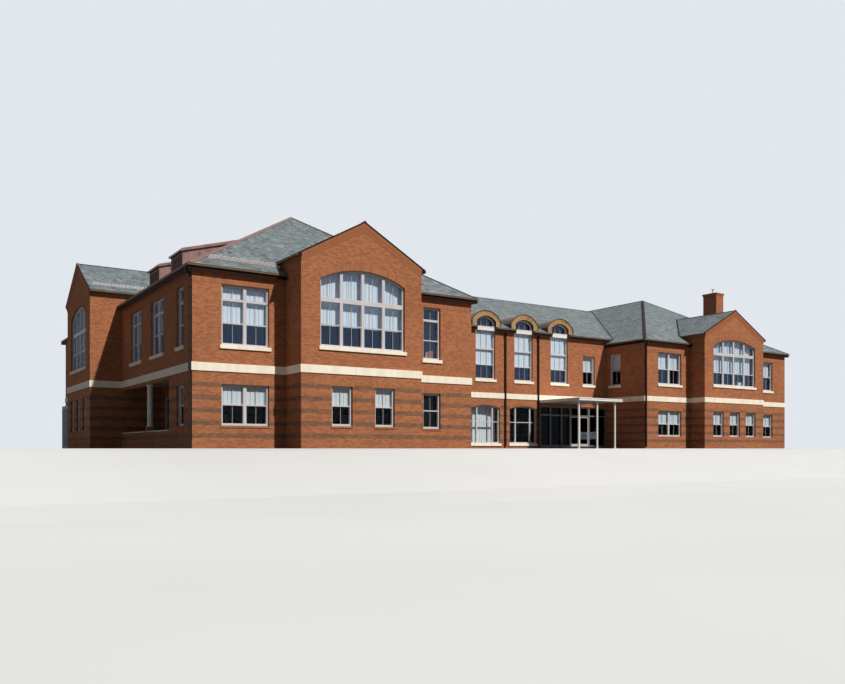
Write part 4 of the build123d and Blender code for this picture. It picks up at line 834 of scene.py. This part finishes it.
EXPOSURE = 0.088
SLATE_WIDTH = 0.118
SLATE_THICKNESS = 0.007
SLATE_LIFT = 0.003
SLATE_OVERHANG = 0.012
SLATE_GAP = 0.0015


def upward(vector):
    return -vector if vector.z < 0 else vector


def clip(polygon, edge_point, inward):
    """Part of a flat polygon that lies on the inner side of a line."""
    kept = []
    for a, b in zip(polygon, polygon[1:] + polygon[:1]):
        da, db = (a - edge_point).dot(inward), (b - edge_point).dot(inward)
        if da >= 0:
            kept.append(a)
        if da * db < 0:
            kept.append(a + (b - a) * (da / (da - db)))
    return kept


class Slope:
    """A flat roof slope with its eave first: a place along the eave and up the slope gives a point."""

    def __init__(self, corners):
        self.corners = [Vector((x - ORIGIN_X, y - ORIGIN_Y, z)) for x, y, z in corners]
        self.start = self.corners[0]
        self.along = (self.corners[1] - self.start).normalized()
        self.normal = upward(self.along.cross(self.corners[2] - self.start).normalized())
        self.up = upward(self.normal.cross(self.along))
        self.outline = [Vector(((c - self.start).dot(self.along), (c - self.start).dot(self.up)))
                        for c in self.corners]

    def point(self, s, t, lift=0.0):
        return self.start + self.along * s + self.up * t + self.normal * lift

    def edges(self):
        """Each edge's point and inward direction, for clipping."""
        middle = sum(self.outline, Vector((0, 0))) / len(self.outline)
        found = []
        for a, b in zip(self.outline, self.outline[1:] + self.outline[:1]):
            inward = Vector((a.y - b.y, b.x - a.x)).normalized()
            found.append((a, -inward if (middle - a).dot(inward) < 0 else inward))
        return found


def lay_slates(name, slope, tops=(), stops=()):
    """Courses of slates up a slope, clipped at its hips and left out where a higher roof covers them.

    The first course also stops at gaps in the eave.
    """
    piece = Piece()
    edges = slope.edges()[1:]
    left = min(p.x for p in slope.outline) - SLATE_WIDTH
    right = max(p.x for p in slope.outline) + SLATE_WIDTH
    top = max(p.y for p in slope.outline)
    course = 0
    while course * EXPOSURE < top:
        t0 = course * EXPOSURE - SLATE_OVERHANG
        t1 = t0 + EXPOSURE * 1.2
        s = left + SLATE_WIDTH * (course % 2) / 2 + 0.02 * dice.random()
        while s < right:
            width = SLATE_WIDTH * (0.8 + 0.4 * dice.random())
            tone, drop = dice.random(), 0.004 * dice.random()
            s0, s1 = s + SLATE_GAP, s + width - SLATE_GAP
            shape = [Vector(corner) for corner in ((s0, t0 - drop), (s1, t0 - drop), (s1, t1), (s0, t1))]
            s += width
            for point, inward in edges:
                shape = clip(shape, point, inward)
                if len(shape) < 3:
                    break
            if course == 0 and len(shape) > 2:
                for low, high in stops:
                    if shape[0].x < low < s:
                        shape = clip(shape, Vector((low, 0)), Vector((-1, 0)))
                    elif shape[0].x < high < s:
                        shape = clip(shape, Vector((high, 0)), Vector((1, 0)))
            if len(shape) < 3 or all(covered(slope.point(p.x, p.y), tops) for p in shape):
                continue
            lift = [SLATE_LIFT + SLATE_THICKNESS * (1 - (p.y - t0) / (t1 - t0)) for p in shape]
            piece.loft([[slope.point(p.x, p.y, height - sunk) for p, height in zip(shape, lift)]
                        for sunk in (0, SLATE_THICKNESS)], tone)
        course += 1
    piece.place(name, "slate", "slate")


def hipped(x0, x1, y0, y1, run, eave, ridge):
    """The four slopes of a hipped roof, eave first."""
    left, right, near, far = x0 - OVERHANG, x1 + OVERHANG, y0 - OVERHANG, y1 + OVERHANG
    peaks = (((x0 + x1) / 2, y0 + run, ridge), ((x0 + x1) / 2, y1 - run, ridge))
    return {"front": Slope([(left, near, eave), (right, near, eave), peaks[0]]),
            "west": Slope([(left, far, eave), (left, near, eave), *peaks]),
            "east": Slope([(right, near, eave), (right, far, eave), *peaks[::-1]]),
            "rear": Slope([(right, far, eave), (left, far, eave), peaks[1]])}


def link_slopes():
    """The link's two slopes, out to where they meet the wings' inner slopes."""
    left, right, ridge_left, ridge_right = (
        place for height in (LINK_EAVE, LINK_RIDGE)
        for place in (LEFT_WIDTH + OVERHANG - (height - LEFT_EAVE) / LEFT_PITCH,
                      RIGHT_X - OVERHANG + (height - RIGHT_EAVE) / RIGHT_PITCH))
    peaks = ((ridge_right, LINK_MIDDLE, LINK_RIDGE), (ridge_left, LINK_MIDDLE, LINK_RIDGE))
    near, far = LINK_SETBACK - OVERHANG, LINK_REAR + OVERHANG
    return (Slope([(left, near, LINK_EAVE), (right, near, LINK_EAVE), *peaks]),
            Slope([(right, far, LINK_EAVE), (left, far, LINK_EAVE), *peaks[::-1]]))


def bay_slopes(bay):
    """Left and right slopes of a bay's roof, out to where they meet the wing's slope."""
    def spot(u, d, z):
        point = bay.main.point(u, d, z)
        return (point.x + ORIGIN_X, point.y + ORIGIN_Y, z)
    front = -bay.projection - RAKE_OVERHANG
    at_eave, at_ridge = ((z - bay.main.eave) / bay.pitch - OVERHANG for z in (bay.eave, bay.ridge))
    return [Slope([spot(edge, front, bay.eave), spot(edge, at_eave, bay.eave),
                   spot(bay.centre, at_ridge, bay.ridge), spot(bay.centre, front, bay.ridge)])
            for edge in bay.sides(OVERHANG)]


LEFT_SLOPES = hipped(0, LEFT_WIDTH, 0, LEFT_DEPTH, LEFT_HIP_RUN, LEFT_EAVE, LEFT_RIDGE)
RIGHT_SLOPES = hipped(RIGHT_X, RIGHT_END, RIGHT_SETBACK, LEFT_DEPTH, RIGHT_HIP_RUN, RIGHT_EAVE, RIGHT_RIDGE)
LINK_SLOPES = link_slopes()
BAY_SLOPES = [bay_slopes(bay) for bay in BAYS]

# Dormers of the west slope: two before the west bay, and the nearer one's mirror image behind it
DORMER_WIDTH = 1.05
DORMER_BY_BAY = 4.7
DORMER_STARTS = (2.49, DORMER_BY_BAY, 2 * WEST_BAY.centre - DORMER_BY_BAY - DORMER_WIDTH)
DORMER_FRONT = 0.525
DORMER_TOP = 5.29
DORMER_PITCH = 0.28
RING_PROUD = 0.06
BARREL_START = 0.8

# Stands for a roof over places where no slate is laid
HIDDEN = 9


# Height of each higher roof over a place, or nothing beyond it

def bay_top(bay, point):
    u, depth = bay.main.place(point)
    offset = abs(u - bay.centre)
    if offset > bay.width / 2 + OVERHANG or depth > (bay.ridge - bay.main.eave) / bay.pitch:
        return 0
    return bay.ridge - bay.slope * offset


def link_top(point):
    offset = abs(point.y + ORIGIN_Y - LINK_MIDDLE)
    return 0 if offset > LINK_DEPTH / 2 + OVERHANG else LINK_RIDGE - LINK_PITCH * offset


def barrel_top(point):
    """The same for the barrel roofs, with nothing laid on the arches themselves."""
    u, depth = LINK_FRONT.place(point)
    for at in LINK_BAYS:
        offset = abs(u - at)
        behind = arc_height(RING_WIDTH, LINK_ARCH_SPRING, RING_CROWN, offset)
        if offset < LINK_ARCH_WIDTH / 2 or offset < RING_WIDTH / 2 and -RING_PROUD < depth < WALL:
            return HIDDEN if depth < BARREL_START else behind
        if offset < RING_WIDTH / 2 and depth > 0:
            return behind
    return 0


def dormer_top(point):
    u, depth = WEST.place(point)
    for start in DORMER_STARTS:
        if start < u < start + DORMER_WIDTH and depth > DORMER_FRONT:
            return DORMER_TOP + DORMER_PITCH * (depth - DORMER_FRONT)
    return 0


def covered(point, tops):
    return any(top(point) > point.z + 0.001 for top in tops)


def roof_all():
    left, west, right = [lambda point, bay=bay: bay_top(bay, point) for bay in BAYS]
    covers = {"left_front": [left], "left_west": [west, left, dormer_top], "left_east": [link_top, left],
              "right_front": [right], "right_west": [link_top, right], "right_east": [right]}
    for wing, slopes in (("left", LEFT_SLOPES), ("right", RIGHT_SLOPES)):
        for side, slope in slopes.items():
            lay_slates(f"{wing}_{side}_slates", slope, covers.get(f"{wing}_{side}", ()))
    front, rear = LINK_SLOPES
    first = front.start.x + ORIGIN_X
    lay_slates("link_front_slates", front, [barrel_top], pairs([edge - first for edge in arch_edges(0)]))
    lay_slates("link_rear_slates", rear)
    for name, slopes in zip(("left_bay", "west_bay", "right_bay"), BAY_SLOPES):
        for side, slope in zip(("left", "right"), slopes):
            lay_slates(f"{name}_{side}_slates", slope)


LEFT_HIP_CAP = 0.085
RIGHT_HIP_CAP = 0.07
THIN_CAP = 0.05
BAY_CAP = 0.045
CAP_THICKNESS = 0.006
VALLEY = 0.055
VALLEY_LIFT = 0.016


def cap_strip(piece, first, second, start, end, width, lift=0.012):
    """Folded metal strip between two corners of the first slope, lying on both slopes."""
    a, b = first.corners[start], first.corners[end]
    line = (b - a).normalized()
    arms = []
    for slope in (first, second):
        inward = sum(slope.corners, Vector()) / len(slope.corners) - (a + b) / 2
        arm = slope.normal.cross(line)
        arms.append((arm if arm.dot(inward) > 0 else -arm).normalized() * width + slope.normal * lift)
    bend = (first.normal + second.normal).normalized()
    sections = []
    for corner in (a, b):
        low = [corner + arms[0], corner + bend * lift * 1.1, corner + arms[1]]
        sections.append(low + [point + bend * CAP_THICKNESS for point in low[::-1]])
    piece.loft(sections)


def cap_roofs():
    """Metal caps on hips and ridges, and open valleys where roofs meet."""
    rose, dark = Piece(), Piece()
    for piece, slopes, width in ((rose, LEFT_SLOPES, LEFT_HIP_CAP), (dark, RIGHT_SLOPES, RIGHT_HIP_CAP)):
        front, west, east, rear = slopes.values()
        cap_strip(piece, front, west, 0, 2, width)
        cap_strip(dark, front, east, 1, 2, THIN_CAP)
        cap_strip(piece, rear, west, 1, 2, width)
        cap_strip(dark, rear, east, 0, 2, THIN_CAP)
        cap_strip(piece, west, east, 2, 3, width)
    front, rear = LINK_SLOPES
    cap_strip(dark, front, rear, 3, 2, THIN_CAP)
    for slopes in BAY_SLOPES:
        cap_strip(dark, *slopes, 3, 2, BAY_CAP)
    left, right = LEFT_SLOPES["east"], RIGHT_SLOPES["west"]
    valleys = [(front, left, 0, 3), (front, right, 1, 2), (rear, left, 1, 2), (rear, right, 0, 3)]
    for slopes, main in zip(BAY_SLOPES, (LEFT_SLOPES["front"], LEFT_SLOPES["west"], RIGHT_SLOPES["front"])):
        valleys += [(slope, main, 1, 2) for slope in slopes]
    for valley in valleys:
        cap_strip(dark, *valley, VALLEY, VALLEY_LIFT)
    rose.place("left_hip_caps", "hip", "dormer_sheet")
    dark.place("roof_flashings", "flashing", "gutter_metal")


# Snow guards: rows up the slope, places along it, clear of its edges
GUARD_FIRST_ROW, GUARD_ROW_STEP = 0.4, 0.13
GUARD_FIRST, GUARD_STEP = 0.06, 0.11
GUARD_MARGIN = 0.12


def snow_guards():
    """Two staggered rows of small pads above the eaves that have them."""
    piece = Piece()
    runs = [(LEFT_SLOPES["front"], LEFT_BAY.sides()[0])]
    runs += [(slope, max(p.x for p in slope.outline)) for slope in BAY_SLOPES[1]]
    for slope, reach in runs:
        for row in range(2):
            t, s = GUARD_FIRST_ROW + GUARD_ROW_STEP * row, GUARD_FIRST + GUARD_STEP / 2 * row
            while s < reach:
                spot = Vector((s, t))
                if all((spot - point).dot(inward) > GUARD_MARGIN for point, inward in slope.edges()):
                    for corners, lifts in (
                            (((-0.035, -0.03), (0.035, -0.03), (0.045, 0.02), (-0.045, 0.02)), (0.004, 0.016)),
                            (((-0.038, -0.034), (0.038, -0.034), (0.038, -0.024), (-0.038, -0.024)), (0.006, 0.056))):
                        piece.loft([[slope.point(s + a, t + b, lift) for a, b in corners] for lift in lifts])
                s += GUARD_STEP
    piece.place("snow_guards", "guard", "gutter_metal")


def rake_trim():
    """Folded metal along the gable edges, with a cap at each apex."""
    piece, caps = Piece(), Piece()
    for bay in BAYS:
        left, right = bay.sides(OVERHANG)
        tops = (bay.eave + 0.012, bay.ridge + 0.016, bay.eave + 0.012)
        piece.band(bay.front, (left, bay.centre, right), [top - 0.036 for top in tops], tops,
                   -RAKE_OVERHANG - 0.02, -RAKE_OVERHANG + 0.01)
        foot = bay.ridge - 0.07 * bay.slope + 0.026
        tops = (foot, bay.ridge + 0.042, foot)
        caps.band(bay.front, (bay.centre - 0.07, bay.centre, bay.centre + 0.07), [top - 0.024 for top in tops], tops,
                  -RAKE_OVERHANG - 0.024, 0.03)
    piece.place("rake_trim", "dark", "gutter_metal")
    caps.place("gable_caps", "rose", "gutter_metal", bevel=0.003)


def arch_mouldings():
    """Raised ribs on the arched surrounds, and the dark edge that sheds rain over them."""
    gold, dark = Piece(), Piece()
    for at in LINK_BAYS:
        for piece, inset, thick, out in ((dark, -0.008, 0.022, 0.085), (gold, 0.03, 0.014, 0.07),
                                         (gold, 0.075, 0.012, 0.067), (dark, 0.125, 0.008, 0.064)):
            width, crown = RING_WIDTH - 2 * inset, RING_CROWN - inset
            inner = width / 2 - thick
            us = steps(at - width / 2, at + width / 2, 28)
            tops = [arc_height(width, LINK_ARCH_SPRING, crown, u - at) for u in us]
            lows = [max(arc_height(2 * inner, LINK_ARCH_SPRING, crown - thick, max(min(u - at, inner), -inner)),
                        LINK_ARCH_SPRING - 0.001) for u in us]
            lows = [min(low, top - 0.006) for low, top in zip(lows, tops)]
            piece.band(LINK_FRONT, us, lows, tops, -out, -0.05)
            for side in (-1, 1):
                u0, u1 = sorted((at + side * inner, at + side * width / 2))
                piece.block(LINK_FRONT, u0, u1, -out, -0.05, RING_FOOT, LINK_ARCH_SPRING + 0.002)
    gold.place("arch_ribs", "gold", "copper_sheet")
    dark.place("arch_drips", "copper", "copper_sheet")


def lunettes():
    """The panel under each half-round light over the link's tall windows."""
    piece = Piece()
    for window in TALL_ARCHES:
        for front, z0, z1 in ((0.02, 4.335, 4.48), (0.01, 4.475, 4.492)):
            piece.block(LINK_FRONT, *window.span(), front, 0.062, z0, z1)
    piece.place("lunette_panels", "canopy", "window_frame", bevel=0.002)


# Metalwork

LIP = OVERHANG + 0.045
GUTTERS = (
    (LEFT_FRONT, -LIP, *LEFT_BAY.sides(), LEFT_WIDTH + LIP), (LEFT_REAR, -LIP, LEFT_WIDTH + LIP),
    (WEST, -OVERHANG, *WEST_BAY.sides(), LEFT_DEPTH + OVERHANG),
    (LEFT_EAST, -OVERHANG, LINK_SETBACK - OVERHANG, LINK_REAR + OVERHANG, LEFT_DEPTH + OVERHANG),
    (RIGHT_FRONT, RIGHT_X - LIP, *RIGHT_BAY.sides(), RIGHT_END + LIP), (RIGHT_REAR, RIGHT_X - LIP, RIGHT_END + LIP),
    (RIGHT_EAST, RIGHT_SETBACK - OVERHANG, LEFT_DEPTH + OVERHANG),
    (RIGHT_WEST, RIGHT_SETBACK - OVERHANG, LINK_SETBACK, LINK_REAR, LEFT_DEPTH + OVERHANG),
    (LINK_BACK, LEFT_WIDTH + OVERHANG, RIGHT_X + OVERHANG),
    (LINK_FRONT, LEFT_WIDTH + OVERHANG, *arch_edges(0), RIGHT_X + OVERHANG))
STRAP = 0.008
STRAP_PITCH = 0.45


def dress_eaves():
    """Rolled gutter lips, their straps, and the fascia and bed mould under them."""
    metal, boards = Piece(), Piece()
    for facade, *edges in GUTTERS:
        top = facade.eave - 0.01
        for u0, u1 in pairs(edges):
            metal.block(facade, u0, u1, -0.156, -0.148, top - 0.01, top + 0.002)
            metal.block(facade, u0, u1, -0.153, -0.149, top - 0.05, top - 0.043)
            for at in evenly(u0, u1, max(1, round((u1 - u0) / STRAP_PITCH))):
                metal.block(facade, at - STRAP, at + STRAP, -0.154, -0.1, top - 0.002, top + 0.003)
                metal.block(facade, at - STRAP, at + STRAP, -0.154, -0.149, top - 0.05, top)
            boards.block(facade, u0, u1, -0.112, -0.101, facade.eave - 0.148, facade.eave - 0.068)
    metal.place("gutter_lips", "gutter", "gutter_metal")
    boards.place("eave_boards", "dark", "gutter_metal")


def bay_eaves():
    """Narrow gutters along the eaves of the bays."""
    piece = Piece()
    for slopes in BAY_SLOPES:
        for slope in slopes:
            out = Vector((slope.up.x, slope.up.y, 0)).normalized() * -1
            shape = ((0.0, -0.012), (0.026, -0.012), (0.026, -0.058), (0.0, -0.058))
            piece.loft([[slope.point(s, 0) + out * x + Vector((0, 0, z)) for x, z in shape]
                        for s in (0, slope.outline[1].x)])
    piece.place("bay_gutters", "gutter", "gutter_metal")


# Each downspout's wall and place along it
DOWNSPOUTS = ((WEST, 0.05), (RIGHT_FRONT, RIGHT_X + 0.05), (LINK_FRONT, LINK_BAYS[1] + 0.91), (LINK_FRONT, 14.815))
PIPE_STRAPS = (0.5, 1.3, 2.3, 3.1, 3.8)


def pipe_straps():
    """Straps that hold the downspouts to the walls."""
    piece = Piece()
    for facade, u in DOWNSPOUTS:
        for z in PIPE_STRAPS:
            piece.block(facade, u - 0.034, u + 0.034, -0.075, 0.0, z, z + 0.022)
    piece.place("pipe_straps", "dark", "gutter_metal")


SEAM = 0.006


def dress_dormers():
    """Standing seams on the dormers' roofs and cheeks, and dark louvres in their fronts."""
    seams, louvres = Piece(), Piece()

    def slate_line(x):
        return LEFT_EAVE + LEFT_PITCH * (x + OVERHANG)

    def roof_line(x):
        return DORMER_TOP + DORMER_PITCH * (x - DORMER_FRONT)

    run = (DORMER_TOP - slate_line(DORMER_FRONT)) / (LEFT_PITCH - DORMER_PITCH)
    ends = (DORMER_FRONT - 0.05, DORMER_FRONT + run)
    tops = [roof_line(x) for x in ends]
    front = Facade(DORMER_FRONT, "x", 1)
    for start in DORMER_STARTS:
        side = Facade(start, "y", 1)
        for across in steps(-0.045, DORMER_WIDTH + 0.045, 5):
            seams.band(side, ends, tops, [top + 0.022 for top in tops], across - SEAM, across + SEAM)
        for face in (-0.008, DORMER_WIDTH - 0.002):
            for n in range(1, 8):
                x = DORMER_FRONT + 0.16 * n
                low, high = slate_line(x), roof_line(x) - 0.05
                if high - low > 0.04:
                    seams.block(side, x - SEAM, x + SEAM, face, face + 0.01, low, high)
        u0, u1 = start + 0.06, start + DORMER_WIDTH - 0.06
        louvres.block(front, u0, u1, -0.012, SUNK, DORMER_TOP - 0.085, DORMER_TOP - 0.06)
        for z in steps(slate_line(DORMER_FRONT) + 0.02, DORMER_TOP - 0.1, 7)[:-1]:
            louvres.loft([[front.point(u, d, z + dz) for d, dz in
                           ((-0.004, 0.006), (-0.022, -0.006), (-0.022, 0.0), (-0.004, 0.03))] for u in (u0, u1)])
    seams.place("dormer_seams", "rose", "dormer_sheet")
    louvres.place("dormer_louvres", "dark", "gutter_metal")


def dress_chimney():
    """Corbelled courses and a thin cap at the chimney's head, and a metal sleeve and rain cap on its flue."""
    low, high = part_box("chimney")
    bricks, metal = Piece(), Piece()
    for inset, z0 in ((0.02, 6.772), (0.01, 6.812)):
        bricks.slab(low.x + inset, high.x - inset, low.y + inset, high.y - inset, z0, z0 + 0.036)
    for foot, head in (((0.075, 6.889), (0.066, 6.92)), ((0.0635, 6.92), (0.0635, 7.1)), ((0.07, 7.0), (0.07, 7.012)),
                       ((0.095, 7.1), (0.09, 7.112)), ((0.09, 7.112), (0.02, 7.15))):
        metal.turned((low + high) / 2, foot, head, 20)
    metal.slab(low.x - 0.004, high.x + 0.004, low.y - 0.004, high.y + 0.004, 6.876, 6.894)
    bricks.place("chimney_corbels", "brick", "brick")
    metal.place("flue_cap", "guard", "gutter_metal")


CANOPY_DEPTH = 2.19
CANOPY_COLUMNS = (0.13, 1.06, 1.99)


def dress_canopy():
    """Edge trims, the soffit's panel strips and the columns' feet and heads."""
    low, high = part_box("canopy")
    trims, soffit = Piece(), Piece()
    x0, x1, y0 = low.x + ORIGIN_X, high.x + ORIGIN_X, low.y + ORIGIN_Y
    front, side = Facade(y0, "y", 1), Facade(x0, "x", 1)
    for z0, z1, out in ((high.z - 0.03, high.z + 0.006, 0.012), (low.z - 0.004, low.z + 0.022, 0.006)):
        trims.block(front, x0 - out, x1, -out, 0.01, z0, z1)
        trims.block(side, y0 - out, high.y + ORIGIN_Y, -out, 0.01, z0, z1)
    for at in steps(x0, x1, 8)[1:-1]:
        soffit.block(front, at - 0.004, at + 0.004, 0.02, CANOPY_DEPTH - 0.04, low.z - 0.004, low.z + 0.002)
    for at in steps(0, CANOPY_DEPTH, 4)[1:-1]:
        soffit.block(front, x0, x1, at - 0.004, at + 0.004, low.z - 0.0045, low.z + 0.002)
    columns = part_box("canopy_columns")
    for at in CANOPY_COLUMNS:
        centre = Vector((low.x + at, (columns[0].y + columns[1].y) / 2, 0))
        for radius, z0, z1 in ((0.06, 0.0, 0.012), (0.05, 0.012, 0.03), (0.05, low.z - 0.03, low.z - 0.001)):
            trims.turned(centre, (radius, z0), (radius, z1))
    trims.place("canopy_trims", "canopy", "canopy_white", bevel=0.0015)
    soffit.place("canopy_soffit_strips", "gutter", "canopy_white")


def stone_lugs():
    """Ends of the stone sills that reach past their windows."""
    piece = Piece()
    for windows in WINDOW_GROUPS.values():
        for window in windows:
            if window.sill > 2 or window.facade == LINK_FRONT:
                (u0, u1), (u2, u3) = window.span(0.045), window.span()
                for left, right in ((u0, u2), (u3, u1)):
                    piece.block(window.facade, left, right, -0.035, 0.0, window.sill - 0.09, window.sill)
    piece.place("sill_lugs", "stone", "cast_stone")


def porch_details():
    """Base and head of the porch column, and the stone cap of the low wall."""
    low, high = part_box("porch_column")
    piece = Piece()
    for radius, z0, z1 in ((0.1, low.z, low.z + 0.03), (0.088, low.z + 0.03, low.z + 0.05),
                           (0.088, high.z - 0.06, high.z - 0.035), (0.1, high.z - 0.035, high.z)):
        piece.turned((low + high) / 2, (radius, z0), (radius, z1))
    column_at = PORCH_START + 2.17
    for u0, u1 in ((PORCH_START, column_at - 0.125), (column_at + 0.125, PORCH_END)):
        piece.block(WEST, u0, u1, -0.015, 0.165, 0.45, 0.48)
    piece.place("porch_stone", "stone", "cast_stone", bevel=0.002)


# Stage

def stage():
    """Pale ground, level under the building and falling away towards the street."""
    profile = [(-50, -0.8), (-9.46, -0.8), (-7.66, -0.72), (-3.06, -0.06), (-2.06, 0.0), (50, 0.0), (50, -0.3),
               (-50, -1.2)]
    shader = Shader("stage_floor")
    pale = shader.ramp(shader.noise(0.3), (0.3, srgb(208, 209, 209)), (0.7, srgb(213, 213, 212)))
    shader.colour(shader.mix(shader.seen_directly(), srgb(86, 85, 84), pale))
    piece = Piece()
    piece.loft([[Vector((x, y - ORIGIN_Y, z)) for y, z in profile] for x in (-70, 70)])
    piece.build("ground", shader.material)


def light():
    """A sun from the front right and above, a wide soft light behind, and a pale world that fills the shade."""
    for name, energy, angle, colour, place in (
            ("sun", 4.05, 1.5, (1.0, 0.97, 0.92), (0.216, -0.647, 0.731)),
            ("back_light", 1.2, 60, (0.94, 0.97, 1.0), (0.55, 0.75, 0.35))):
        sun = bpy.data.lights.new(name, "SUN")
        sun.energy, sun.angle, sun.color = energy, math.radians(angle), colour
        add_object(name, sun).rotation_euler = Vector(place).to_track_quat("Z", "Y").to_euler()
    world = bpy.data.worlds.new("studio")
    bpy.context.scene.world = world
    world.use_nodes = True
    nodes = Nodes(world.node_tree)
    nodes.tree.nodes.clear()
    fill = nodes.put("Background", {"Color": (0.80, 0.90, 1.0, 1), "Strength": 0.13})
    shown = nodes.put("Background", {"Color": srgb(226, 231, 237), "Strength": 1.0})
    blend = nodes.put("MixShader", {0: nodes.seen_directly(), 1: fill.outputs[0], 2: shown.outputs[0]})
    nodes.put("OutputWorld", {"Surface": blend.outputs[0]})


# The photograph's eye and its line of sight, from the fitted camera
EYE_X, EYE_Y = -5.925, -18.895
SIGHT = (0.5494, 0.8355, 0)
LENS = 34.43
LENS_SHIFT = 0.126


def camera():
    """The photograph's eye, level with the building's foot."""
    lens = bpy.data.cameras.new("camera")
    lens.sensor_width, lens.lens, lens.shift_y, lens.clip_end = 36, LENS, LENS_SHIFT, 300
    thing = add_object("camera", lens)
    thing.location = (EYE_X - ORIGIN_X, EYE_Y - ORIGIN_Y, 0.0)
    thing.rotation_euler = Vector(SIGHT).to_track_quat("-Z", "Y").to_euler()
    bpy.context.scene.camera = thing


for name, windows in WINDOW_GROUPS.items():
    dress_sashes(name, windows)
    hang_blinds(name, windows)
for dress in (dress_bricks, roof_all, cap_roofs, snow_guards, rake_trim, arch_mouldings, lunettes, dress_eaves,
              bay_eaves, pipe_straps, dress_dormers, dress_chimney, dress_canopy, stone_lugs, porch_details,
              stage, light, camera):
    dress()
bpy.context.scene.view_settings.view_transform = "Standard"

bpy.context.view_layer.update()
